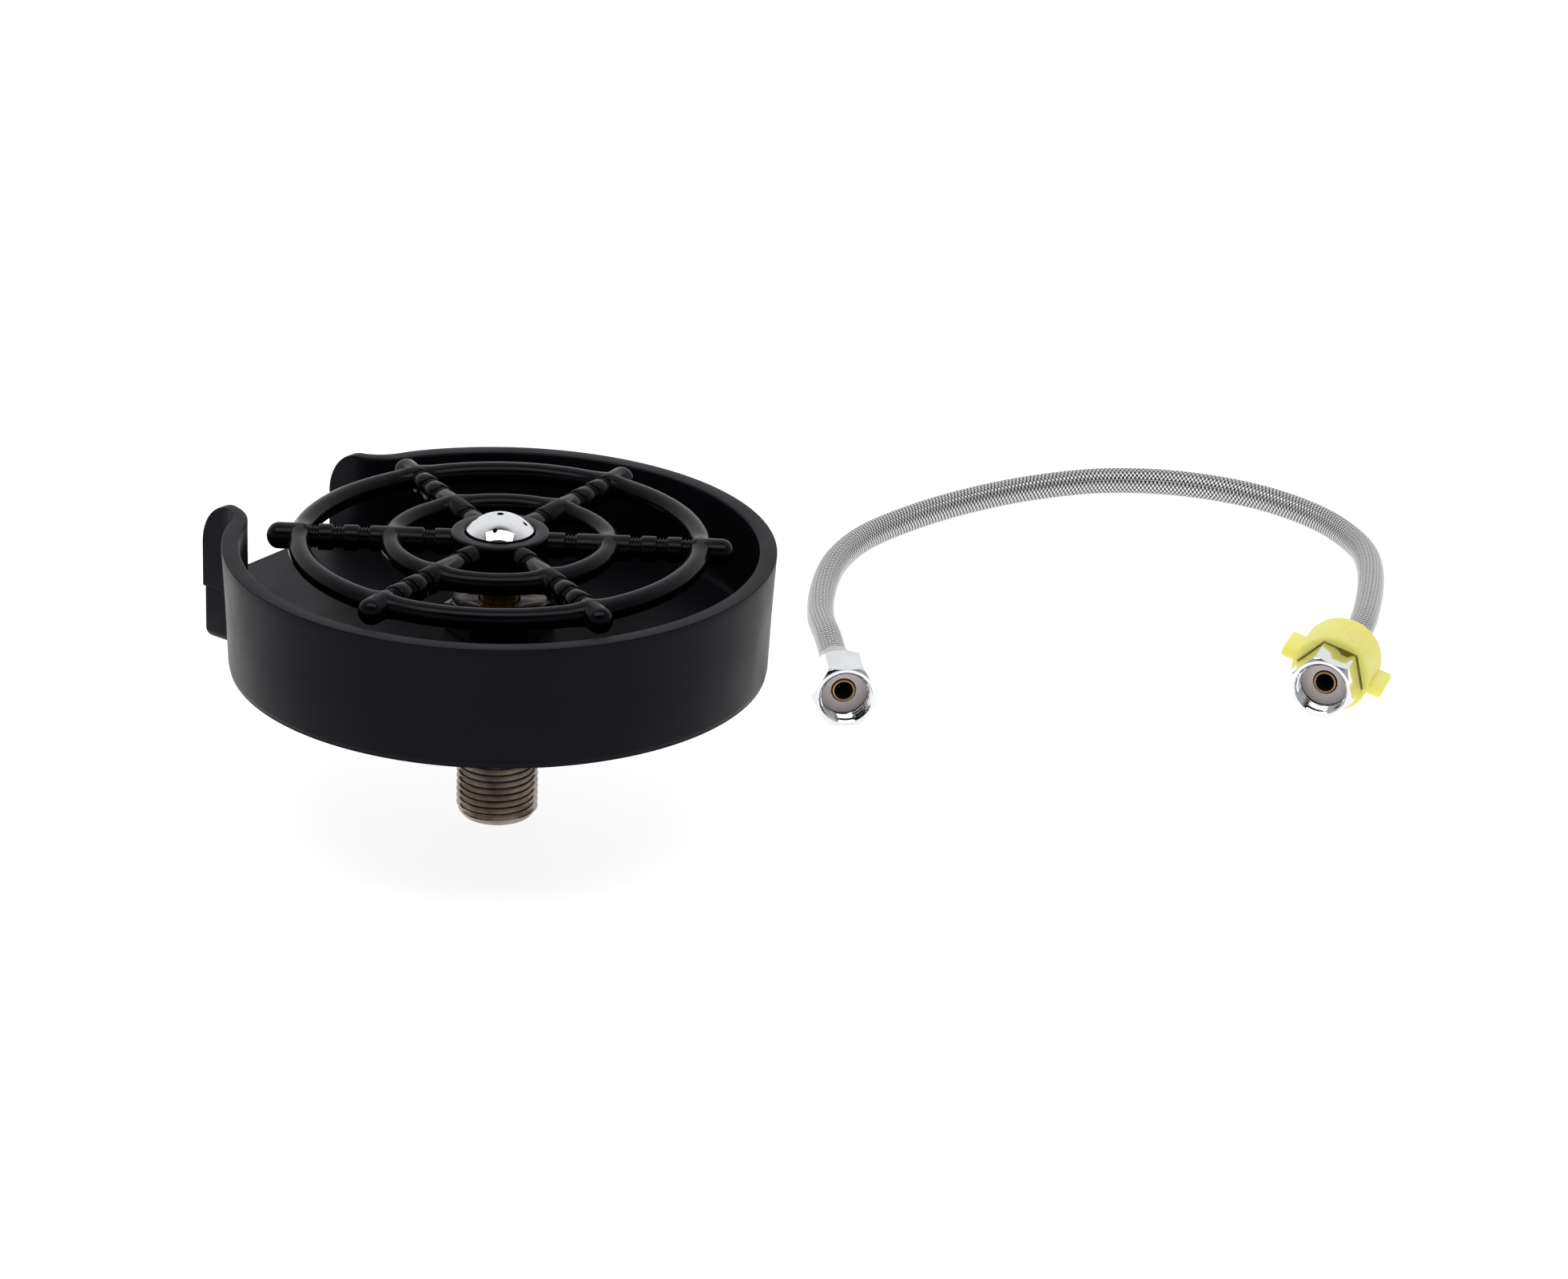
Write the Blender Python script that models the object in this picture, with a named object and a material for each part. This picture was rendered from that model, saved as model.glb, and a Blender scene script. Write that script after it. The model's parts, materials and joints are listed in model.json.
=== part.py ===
"""Sink glass rinser with its braided supply hose.

Lengths below are in millimetres and are turned into metres where meshes are made.
Frame: +Z up, the spout points along -Y, and z = 0 is the lower end of the threaded
shank. The shank stands on the axis x = 0, y = AXIS_Y, which centres the rinser's box.
"""
from math import atan2, cos, pi, radians, sin, sqrt

import bmesh
import bpy
from mathutils import Matrix, Vector

MM = 0.001
GAP = 0.3                       # clearance between pieces that touch

# ---- where the rinser stands ----
AXIS_Y = 3.5

# ---- basin ----
WALL_RADIUS = 68.5
RIM_RADIUS = 70.0
WALL = 3.0
RIM_Z = 74.0
SKIRT_Z = 42.0
FLOOR_TOP_Z = 51.0
FLOOR_UNDER_Z = 48.0
SPOUT_HALF_WIDTH = 26.3
SPOUT_TIP = 77.0                # from the axis to the tips of the spout's walls
SPOUT_FILLET = 12.0             # hollow radius where the wall turns into the spout's sides
TONGUE_TIP = 76.0
TONGUE_Z = 36.0

# ---- shank and valve ----
SHANK_RADIUS = 10.4775          # G1/2 pipe thread
THREAD_DEPTH = 1.16             # the thread is left plain at its outer diameter
SHANK_TOP_Z = 57.0
FLANGE_Z = 43.2
FLANGE_TOP_Z = 46.2
FLANGE_RADIUS = 17.0
CHAMBER_RADIUS = 7.6
SEAT_Z = 27.0
THROAT_RADIUS = 6.2
BUSH_Z = 47.3
BUSH_RADIUS = 7.7
HEX_FLATS = 24.2
HEX_Z = 51.3
HEX_TOP_Z = 59.3

# ---- plunger ----
PLUNGER_RADIUS = 5.0
PLUNGER_BORE = 2.6
PLUNGER_Z = 22.2
PLUNGER_TOP_Z = 76.0
SPRING_Z = 4.7
SPRING_TURNS = 6
SPRING_RADIUS = 5.6
SPRING_WIRE = 0.5

# ---- star grate ----
STAR_Z = 74.0
STAR_TURN = 5.0                 # degrees
STAR_TIP = 59.0
SPOKE_RADIUS = 3.4
OUTER_RING = 50.6
INNER_RING = 27.5
RING_TUBE = 2.85
HUB_RADIUS = 12.5
HUB_Z = 66.0
HUB_TOP_Z = 77.6
DOME_RADIUS = 8.5
DOME_Z = 76.4
DOME_TOP_Z = 82.2
CENTRE_JET = 0.9
OUTER_JET = 0.6
JET_CIRCLE = 6.4
JET_TURN = 22.0                 # degrees

# ---- hose ends ----
HOSE_RADIUS = 3.75
NUT_FLATS = 16.2
NUT_LENGTH = 14.0
NUT_BORE = 6.9
FERRULE_RADIUS = 4.65
FERRULE_LENGTH = 12.0
TAIL_RADIUS = 3.05
TAIL_BORE = 2.5
WASHER_FRONT = 5.3              # behind the nut's mouth
WASHER_THICKNESS = 1.8
TAIL_FLANGE = 1.4
COVER_RADIUS = 11.0
COVER_FRONT = 11.0
COVER_LENGTH = 17.0
COVER_TURN = 16.6               # degrees that the cover and its nut lean over
EAR_REACH = 14.8

# The middle of each nut's mouth, and the direction in plan from there to the hose.
LEFT_MOUTH = (-103.5, 39.2, NUT_FLATS / 2)
LEFT_DIRECTION = -137.5
RIGHT_MOUTH = (-186.4, 136.9, COVER_RADIUS)
RIGHT_DIRECTION = -162.0

# The hose's route between its two ferrules, chosen by hand on the floor it lies on.
HOSE_ROUTE = [
    (-150.0, -3.0, 5.9), (-173.0, -18.5, 4.1), (-191.5, -27.5, 3.9), (-210.0, -31.8, 3.9),
    (-230.0, -31.3, 3.9), (-253.0, -27.0, 3.9), (-277.0, -18.0, 3.9), (-297.0, -4.5, 3.9),
    (-310.0, 14.5, 3.9), (-315.5, 38.0, 3.9), (-312.0, 61.0, 3.9), (-301.0, 80.0, 4.2),
    (-283.5, 94.8, 5.9),
]

BASIN_ROUND = 72                # facets of the basin's circle
ROUND = 36                      # facets of a large turned piece
SMALL_ROUND = 20


def clear_scene():
    for item in list(bpy.data.objects):
        bpy.data.objects.remove(item, do_unlink=True)


def material(name, colour, roughness, metallic=0.0):
    finish = bpy.data.materials.new(name)
    finish.use_nodes = True
    shader = finish.node_tree.nodes["Principled BSDF"]
    shader.inputs["Base Color"].default_value = (*colour, 1.0)
    shader.inputs["Roughness"].default_value = roughness
    shader.inputs["Metallic"].default_value = metallic
    return finish


def make_materials():
    return {
        "basin_plastic": material("basin_plastic", (0.022, 0.024, 0.032), 0.5),
        "star_plastic": material("star_plastic", (0.010, 0.011, 0.014), 0.25),
        "chrome": material("chrome", (0.80, 0.81, 0.83), 0.08, 1.0),
        "nickel_shank": material("nickel_shank", (0.42, 0.38, 0.34), 0.25, 1.0),
        "brass": material("brass", (0.72, 0.50, 0.22), 0.3, 1.0),
        "steel": material("steel", (0.60, 0.60, 0.61), 0.3, 1.0),
        "black_rubber": material("black_rubber", (0.02, 0.02, 0.02), 0.8),
        "washer_rubber": material("washer_rubber", (0.22, 0.19, 0.17), 0.7),
        "guide_plastic": material("guide_plastic", (0.75, 0.74, 0.70), 0.45),
        "braid": material("braid", (0.62, 0.62, 0.62), 0.28, 1.0),
        "cover_plastic": material("cover_plastic", (0.90, 0.82, 0.25), 0.5),
    }


# ---------------------------------------------------------------- mesh helpers

def add_object(name, build, finish, location=(0.0, 0.0, 0.0), parent=None):
    """A new object from the bmesh that build fills, in metres, with its faces pointing out."""
    mesh = bpy.data.meshes.new(name)
    shape = bmesh.new()
    build(shape)
    bmesh.ops.recalc_face_normals(shape, faces=shape.faces)
    shape.to_mesh(mesh)
    shape.free()
    mesh.shade_smooth()
    mesh.set_sharp_from_angle(angle=radians(32))
    mesh.materials.append(finish)
    item = bpy.data.objects.new(name, mesh)
    item.location = [value * MM for value in location]
    item.parent = parent
    bpy.context.scene.collection.objects.link(item)
    return item


def turned(profile, segments=ROUND, closed=True):
    """Build function for a body turned about Z from (radius, z) points.

    A closed profile runs round a ring's section. An open one starts and ends on the axis.
    """
    def build(shape):
        rings = []
        for radius, z in profile:
            if radius == 0:
                rings.append([shape.verts.new((0, 0, z * MM))])
                continue
            rings.append([
                shape.verts.new((radius * MM * cos(2 * pi * k / segments),
                                 radius * MM * sin(2 * pi * k / segments), z * MM))
                for k in range(segments)])
        pairs = list(zip(rings, rings[1:]))
        if closed:
            pairs.append((rings[-1], rings[0]))
        for low, high in pairs:
            for k in range(segments):
                after = (k + 1) % segments
                if len(low) == 1:
                    shape.faces.new((low[0], high[after], high[k]))
                elif len(high) == 1:
                    shape.faces.new((low[k], low[after], high[0]))
                else:
                    shape.faces.new((low[k], low[after], high[after], high[k]))
    return build


def stacked(loops):
    """Build function for a body skinned over closed loops of equal length, with flat ends."""
    def build(shape):
        rings = [[shape.verts.new(Vector(point) * MM) for point in loop] for loop in loops]
        for low, high in zip(rings, rings[1:]):
            count = len(low)
            for k in range(count):
                after = (k + 1) % count
                shape.faces.new((low[k], low[after], high[after], high[k]))
        shape.faces.new(rings[0])
        shape.faces.new(rings[-1])
    return build


def round_section(radius, centre_radius, z, sides):
    """The section of an O-ring or a round rod bent into a ring."""
    return [(centre_radius + radius * cos(2 * pi * k / sides), z + radius * sin(2 * pi * k / sides))
            for k in range(sides)]


def hexagon(flats, z, turn=0.0):
    corner = flats / sqrt(3)
    return [(corner * cos(radians(60 * k + turn)), corner * sin(radians(60 * k + turn)), z)
            for k in range(6)]


def shape_with(base, cutter, operation="DIFFERENCE", solver="EXACT"):
    """A live Boolean on base; the cutter is hidden and left out of the model."""
    change = base.modifiers.new(cutter.name, "BOOLEAN")
    change.operation = operation
    change.object = cutter
    change.solver = solver
    cutter.hide_render = True
    cutter.display_type = "WIRE"


def marker(name, location, rotation=None, parent=None):
    """An empty that carries pieces on a joint's axis."""
    item = bpy.data.objects.new(name, None)
    item.location = [value * MM for value in location]
    if rotation is not None:
        item.rotation_euler = rotation.to_euler()
    item.parent = parent
    bpy.context.scene.collection.objects.link(item)
    return item


# ---------------------------------------------------------------- basin

def wall_side(offset, tip):
    """The wall's plan from the back round +X to the spout's tip, moved out by offset.

    It follows the circle, then a hollow fillet, then the spout's straight side.
    """
    centre_x = SPOUT_HALF_WIDTH + SPOUT_FILLET
    centre_y = -sqrt((WALL_RADIUS + SPOUT_FILLET) ** 2 - centre_x ** 2)
    branch = atan2(centre_x, -centre_y)
    radius = WALL_RADIUS + offset
    steps = BASIN_ROUND // 2 - 6
    points = []
    for k in range(steps + 1):
        angle = pi + (branch - pi) * k / steps
        points.append((radius * sin(angle), -radius * cos(angle)))
    hollow = SPOUT_FILLET - offset
    steps = 6
    for k in range(1, steps + 1):
        angle = branch + (pi / 2 - branch) * k / steps
        points.append((centre_x - hollow * sin(angle), centre_y + hollow * cos(angle)))
    points.append((SPOUT_HALF_WIDTH + offset, -tip))
    return points


def basin_outline(offset, z, tip=SPOUT_TIP):
    side = wall_side(offset, tip)
    mirrored = [(-x, y) for x, y in reversed(side[1:])]
    return [(x, y, z) for x, y in side + mirrored]


def tongue_outline(offset, z, tip, back=-52.0):
    """The spout's plan between its straight sides, moved out by offset."""
    side = SPOUT_HALF_WIDTH + offset
    return [(side, back, z), (side, -tip, z), (-side, -tip, z), (-side, back, z)]


def fillet(radius, steps):
    """Inset and height pairs of a quarter round, from the wall in towards a floor."""
    return [(radius * (1 - cos(pi / 2 * k / steps)), radius * (1 - sin(pi / 2 * k / steps)))
            for k in range(steps + 1)]


def make_basin(finishes):
    finish = finishes["basin_plastic"]
    place = (0, AXIS_Y, 0)
    basin = add_object("basin", stacked([
        basin_outline(0.0, FLOOR_TOP_Z - 0.8), basin_outline(0.0, RIM_Z - 0.6),
        basin_outline(-0.6, RIM_Z)]), finish, place)

    skirt = add_object("skirt_shape", turned([
        (0, SKIRT_Z), (WALL_RADIUS - 2.0, SKIRT_Z), (WALL_RADIUS - 0.6, SKIRT_Z + 0.5),
        (WALL_RADIUS - 0.05, SKIRT_Z + 2.0), (WALL_RADIUS - 0.05, FLOOR_TOP_Z),
        (0, FLOOR_TOP_Z)], BASIN_ROUND, closed=False), finish, place)
    shape_with(basin, skirt, "UNION")

    tongue = add_object("tongue_shape", stacked([
        tongue_outline(-2.2, TONGUE_Z, TONGUE_TIP - 1.6),
        tongue_outline(-1.0, TONGUE_Z + 1.6, TONGUE_TIP),
        tongue_outline(-1.0, FLOOR_TOP_Z - 0.4, TONGUE_TIP)]), finish, place)
    shape_with(basin, tongue, "UNION")

    lip = add_object("rim_lip_shape", turned([
        (WALL_RADIUS - 1.0, RIM_Z - 3.4), (WALL_RADIUS + 0.1, RIM_Z - 3.0),
        (RIM_RADIUS, RIM_Z - 2.2), (RIM_RADIUS, RIM_Z - 0.5), (RIM_RADIUS - 0.6, RIM_Z),
        (WALL_RADIUS - 1.0, RIM_Z)], BASIN_ROUND), finish, place)
    spout_gap = add_object("spout_gap_shape", stacked([
        tongue_outline(-1.5, RIM_Z - 8, 90.0, -40.0), tongue_outline(-1.5, RIM_Z + 8, 90.0, -40.0)]),
        finish, place)
    shape_with(lip, spout_gap)
    shape_with(basin, lip, "UNION")

    inside = -WALL
    cavity_loops = [basin_outline(inside - inset, FLOOR_TOP_Z + height, 90.0)
                    for inset, height in reversed(fillet(2.5, 2))]
    cavity_loops.append(basin_outline(inside, RIM_Z + 6.0, 90.0))
    bowl = add_object("bowl_cutter", stacked(cavity_loops), finish, place)
    shape_with(basin, bowl)

    hollow = add_object("hollow_cutter", turned([
        (0, SKIRT_Z - 9), (WALL_RADIUS - WALL, SKIRT_Z - 9), (WALL_RADIUS - WALL, FLOOR_UNDER_Z - 1),
        (WALL_RADIUS - WALL - 1, FLOOR_UNDER_Z), (0, FLOOR_UNDER_Z)], BASIN_ROUND, closed=False),
        finish, place)
    shape_with(basin, hollow)

    throat = add_object("tongue_cutter", stacked([
        tongue_outline(-4.0, TONGUE_Z - 4, TONGUE_TIP - WALL, -50.0),
        tongue_outline(-4.0, FLOOR_UNDER_Z - 0.5, TONGUE_TIP - WALL, -50.0)]), finish, place)
    shape_with(basin, throat)

    corner_length, corner_height = 9.0, 11.5
    steps = 8
    profile = [(-SPOUT_TIP - 6, RIM_Z + 6), (-SPOUT_TIP + corner_length, RIM_Z + 6)]
    for k in range(steps + 1):
        angle = pi / 2 * k / steps
        profile.append((-SPOUT_TIP + corner_length * (1 - sin(angle)) - 0.01,
                        RIM_Z - corner_height * (1 - cos(angle)) + 0.01))
    profile.append((-SPOUT_TIP - 6, RIM_Z - corner_height))
    corners = add_object("corner_cutter", stacked([
        [(x, y, z) for y, z in profile] for x in (-60.0, 60.0)]), finish, place)
    shape_with(basin, corners)

    bore = add_object("shank_hole_cutter", turned([
        (0, SKIRT_Z), (SHANK_RADIUS + GAP, SKIRT_Z), (SHANK_RADIUS + GAP, FLOOR_TOP_Z + 5),
        (0, FLOOR_TOP_Z + 5)], ROUND, closed=False), finish, place)
    shape_with(basin, bore)

    gasket_outer = WALL_RADIUS - WALL - GAP
    add_object("foot_gasket", turned([
        (gasket_outer - 5, SKIRT_Z), (gasket_outer, SKIRT_Z),
        (gasket_outer, FLOOR_UNDER_Z - 1.5), (gasket_outer - 5, FLOOR_UNDER_Z - 1.5)], ROUND),
        finishes["black_rubber"], place)
    return basin


# ---------------------------------------------------------------- shank and valve

def make_valve(finishes, root):
    neck = SHANK_RADIUS - THREAD_DEPTH
    profile = [
        (CHAMBER_RADIUS, 0), (neck, 0), (SHANK_RADIUS, THREAD_DEPTH), (SHANK_RADIUS, FLANGE_Z - 1.6),
        (neck, FLANGE_Z - 1.2), (neck, FLANGE_Z), (FLANGE_RADIUS - 0.5, FLANGE_Z),
        (FLANGE_RADIUS, FLANGE_Z + 0.5), (FLANGE_RADIUS, FLANGE_TOP_Z), (SHANK_RADIUS, FLANGE_TOP_Z),
        (SHANK_RADIUS, SHANK_TOP_Z - 0.6), (SHANK_RADIUS - 0.6, SHANK_TOP_Z),
        (BUSH_RADIUS + GAP, SHANK_TOP_Z), (BUSH_RADIUS + GAP, BUSH_Z - GAP),
        (THROAT_RADIUS, BUSH_Z - GAP), (THROAT_RADIUS, SEAT_Z), (CHAMBER_RADIUS, SEAT_Z)]
    add_object("threaded_shank", turned(profile, 32), finishes["nickel_shank"], parent=root)

    add_object("shank_seal", turned([
        (SHANK_RADIUS + 0.4, FLANGE_TOP_Z + GAP), (FLANGE_RADIUS - 0.4, FLANGE_TOP_Z + GAP),
        (FLANGE_RADIUS - 0.4, FLOOR_UNDER_Z - GAP), (SHANK_RADIUS + 0.4, FLOOR_UNDER_Z - GAP)],
        SMALL_ROUND), finishes["black_rubber"], parent=root)

    corner = HEX_FLATS / sqrt(3)
    hex_nut = add_object("valve_nut", stacked([
        hexagon(HEX_FLATS, HEX_Z, 10), hexagon(HEX_FLATS, HEX_TOP_Z, 10)]),
        finishes["nickel_shank"], parent=root)
    chamfer = add_object("valve_nut_chamfer", turned([
        (0, HEX_Z - 2), (corner + 2, HEX_Z - 2), (corner + 2, HEX_TOP_Z - 2.4),
        (corner - 2.0, HEX_TOP_Z + 0.01), (0, HEX_TOP_Z + 0.01)], ROUND, closed=False),
        finishes["nickel_shank"], parent=root)
    shape_with(hex_nut, chamfer, "INTERSECT")
    nut_bore = add_object("valve_nut_bore", turned([
        (0, HEX_Z - 1), (SHANK_RADIUS + GAP, HEX_Z - 1), (SHANK_RADIUS + GAP, SHANK_TOP_Z + GAP),
        (PLUNGER_RADIUS + 0.4, SHANK_TOP_Z + GAP), (PLUNGER_RADIUS + 0.4, HEX_TOP_Z + 1),
        (0, HEX_TOP_Z + 1)], 32, closed=False), finishes["nickel_shank"], parent=root)
    shape_with(hex_nut, nut_bore)

    bush_top = SHANK_TOP_Z - GAP
    groove_z = (BUSH_Z + bush_top) / 2
    slide = PLUNGER_RADIUS + GAP
    add_object("guide_bush", turned([
        (slide, BUSH_Z), (BUSH_RADIUS, BUSH_Z), (BUSH_RADIUS, bush_top), (slide, bush_top),
        (slide, groove_z + 1.1), (slide + 1.9, groove_z + 1.1), (slide + 1.9, groove_z - 1.1),
        (slide, groove_z - 1.1)], SMALL_ROUND), finishes["guide_plastic"], parent=root)
    add_object("guide_o_ring", turned(
        round_section(0.75, slide + 0.9, groove_z, 6), SMALL_ROUND),
        finishes["black_rubber"], parent=root)


def make_inlet(finishes, root):
    """Strainer and its clip in the shank's lower end, and the spring that stands on them."""
    strainer = add_object("inlet_strainer", turned([
        (1.1, 2.9), (CHAMBER_RADIUS - GAP, 2.9), (CHAMBER_RADIUS - GAP, 4.4), (1.1, 4.4)],
        SMALL_ROUND), finishes["steel"], parent=root)
    holes = 6
    for k in range(holes):
        angle = 2 * pi * k / holes
        hole = add_object(f"strainer_hole_{k}", turned([
            (0, 2), (1.0, 2), (1.0, 6), (0, 6)], 8, closed=False), finishes["steel"],
            (4.2 * cos(angle), 4.2 * sin(angle), 0), root)
        shape_with(strainer, hole, solver="MANIFOLD")

    clip = add_object("strainer_clip", turned([
        (5.6, 1.2), (CHAMBER_RADIUS - GAP, 1.2), (CHAMBER_RADIUS - GAP, 2.5), (5.6, 2.5)],
        SMALL_ROUND), finishes["steel"], parent=root)
    split = add_object("clip_gap_cutter", stacked([
        [(4, -1.2, z), (9, -1.2, z), (9, 1.2, z), (4, 1.2, z)] for z in (0.5, 3.5)]),
        finishes["steel"], parent=root)
    shape_with(clip, split)

    spring_top = PLUNGER_Z - GAP
    low = SPRING_Z + SPRING_WIRE
    high = spring_top - SPRING_WIRE
    steps = SPRING_TURNS * 10
    curve = bpy.data.curves.new("return_spring", "CURVE")
    curve.dimensions = "3D"
    curve.bevel_depth = SPRING_WIRE * MM
    curve.bevel_resolution = 0
    curve.use_fill_caps = True
    path = curve.splines.new("POLY")
    path.points.add(steps)
    for k, point in enumerate(path.points):
        angle = 2 * pi * SPRING_TURNS * k / steps
        rise = low + (high - low) * k / steps
        point.co = (SPRING_RADIUS * MM * cos(angle), SPRING_RADIUS * MM * sin(angle), rise * MM, 1)
    curve.materials.append(finishes["steel"])
    spring = bpy.data.objects.new("return_spring", curve)
    spring.parent = root
    bpy.context.scene.collection.objects.link(spring)


def make_plunger(finishes, slide):
    """The hollow stem: its foot carries the poppet seal, its top carries the star."""
    foot = 6.8
    plunger = add_object("plunger", turned([
        (0, PLUNGER_Z), (foot, PLUNGER_Z), (foot, PLUNGER_Z + 2.3), (PLUNGER_RADIUS, PLUNGER_Z + 2.3),
        (PLUNGER_RADIUS, PLUNGER_TOP_Z), (PLUNGER_BORE, PLUNGER_TOP_Z), (PLUNGER_BORE, SEAT_Z + 1),
        (0, SEAT_Z + 1)], SMALL_ROUND, closed=False), finishes["brass"], parent=slide)
    port = add_object("plunger_port_cutter", turned([
        (0, -8), (1.5, -8), (1.5, 8), (0, 8)], 10, closed=False), finishes["brass"],
        (0, 0, SEAT_Z + 4.5), slide)
    port.rotation_euler = (pi / 2, 0, 0)
    shape_with(plunger, port)

    seal_low = PLUNGER_Z + 2.3 + GAP
    add_object("poppet_seal", turned([
        (PLUNGER_RADIUS + GAP, seal_low), (7.0, seal_low), (7.0, SEAT_Z - GAP),
        (PLUNGER_RADIUS + GAP, SEAT_Z - GAP)], SMALL_ROUND), finishes["black_rubber"], parent=slide)


# ---------------------------------------------------------------- star grate

def spoke_profile():
    """(radius, distance) points of one spoke: a groove by the hub, three between the rings."""
    groove = SPOKE_RADIUS - 0.75
    profile = [(0, HUB_RADIUS - 4), (SPOKE_RADIUS, HUB_RADIUS - 4)]
    for centre in (17.8, 34.2, 40.8, 47.2):
        profile += [(SPOKE_RADIUS, centre - 1.3), (groove, centre), (SPOKE_RADIUS, centre + 1.3)]
    start = STAR_TIP - SPOKE_RADIUS * 0.9
    profile.append((SPOKE_RADIUS, start))
    profile.append((SPOKE_RADIUS * cos(radians(45)), start + SPOKE_RADIUS * 0.9 * sin(radians(45))))
    profile.append((0, STAR_TIP))
    return profile


def make_star(finishes, turntable):
    finish = finishes["star_plastic"]
    slide = PLUNGER_RADIUS + GAP
    star = add_object("star_grate", turned([
        (slide, HUB_Z), (HUB_RADIUS - 1.2, HUB_Z), (HUB_RADIUS, HUB_Z + 1.2),
        (HUB_RADIUS, HUB_TOP_Z - 1.4), (HUB_RADIUS - 1.4, HUB_TOP_Z),
        (DOME_RADIUS + 0.4, HUB_TOP_Z), (DOME_RADIUS + 0.4, STAR_Z + 0.6), (slide, STAR_Z + 0.6)],
        ROUND), finish, parent=turntable)
    for name, radius, sides in (("outer_ring_shape", OUTER_RING, 48),
                                ("inner_ring_shape", INNER_RING, 36)):
        ring = add_object(name, turned(round_section(RING_TUBE, radius, STAR_Z, 6), sides),
                          finish, parent=turntable)
        shape_with(star, ring, "UNION")
    for k in range(6):
        spoke = add_object(f"spoke_shape_{k}", turned(spoke_profile(), 8, closed=False),
                           finish, (0, 0, STAR_Z), turntable)
        spoke.rotation_euler = (0, pi / 2, radians(60 * k))
        shape_with(star, spoke, "UNION")
    seat = add_object("dome_seat_cutter", turned([
        (0, STAR_Z + 0.6), (DOME_RADIUS + 0.4, STAR_Z + 0.6), (DOME_RADIUS + 0.4, HUB_TOP_Z + 2),
        (0, HUB_TOP_Z + 2)], ROUND, closed=False), finish, parent=turntable)
    shape_with(star, seat)

    seal_z = STAR_Z + 0.6 + GAP + 0.6
    add_object("dome_seal", turned(round_section(0.6, DOME_RADIUS - 1.0, seal_z, 6), SMALL_ROUND),
               finishes["black_rubber"], parent=turntable)
    make_dome(finishes, turntable)


def make_dome(finishes, turntable):
    """The chrome spray cap: a shallow dome over a short skirt, hollow, with five jets."""
    base = HUB_TOP_Z + 0.3
    rise = DOME_TOP_Z - base
    sphere = (DOME_RADIUS ** 2 + rise ** 2) / (2 * rise)
    centre = DOME_TOP_Z - sphere
    wall = 1.0

    def cap(radius, edge, steps):
        start = atan2(edge, sqrt(radius ** 2 - edge ** 2))
        return [(radius * sin(start * (1 - k / steps)), centre + radius * cos(start * (1 - k / steps)))
                for k in range(steps)] + [(0, centre + radius)]

    outer = [(DOME_RADIUS, DOME_Z)] + cap(sphere, DOME_RADIUS, 4)
    inner = cap(sphere - wall, DOME_RADIUS - wall, 3)
    profile = [*reversed(inner), (DOME_RADIUS - wall, DOME_Z), *outer]
    dome = add_object("spray_dome", turned(profile, SMALL_ROUND, closed=False), finishes["chrome"],
                      parent=turntable)
    jets = [(0.0, 0.0, CENTRE_JET)]
    for k in range(4):
        angle = radians(JET_TURN + 90 * k)
        jets.append((JET_CIRCLE * cos(angle), JET_CIRCLE * sin(angle), OUTER_JET))
    for k, (x, y, radius) in enumerate(jets):
        jet = add_object(f"jet_cutter_{k}", turned([
            (0, DOME_Z), (radius, DOME_Z), (radius, DOME_TOP_Z + 2), (0, DOME_TOP_Z + 2)], 8,
            closed=False), finishes["chrome"], (x, y, 0), turntable)
        shape_with(dome, jet)


# ---------------------------------------------------------------- hose and its ends

def end_frame(direction, turn=0.0):
    """Local +Z runs from the nut's mouth to the hose, and local +Y is up before the turn."""
    away = Vector((cos(radians(direction)), sin(radians(direction)), 0))
    up = Vector((0, 0, 1))
    side = up.cross(away)
    frame = Matrix((side, up, away)).transposed()
    return frame @ Matrix.Rotation(radians(turn), 3, "Z")


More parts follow.
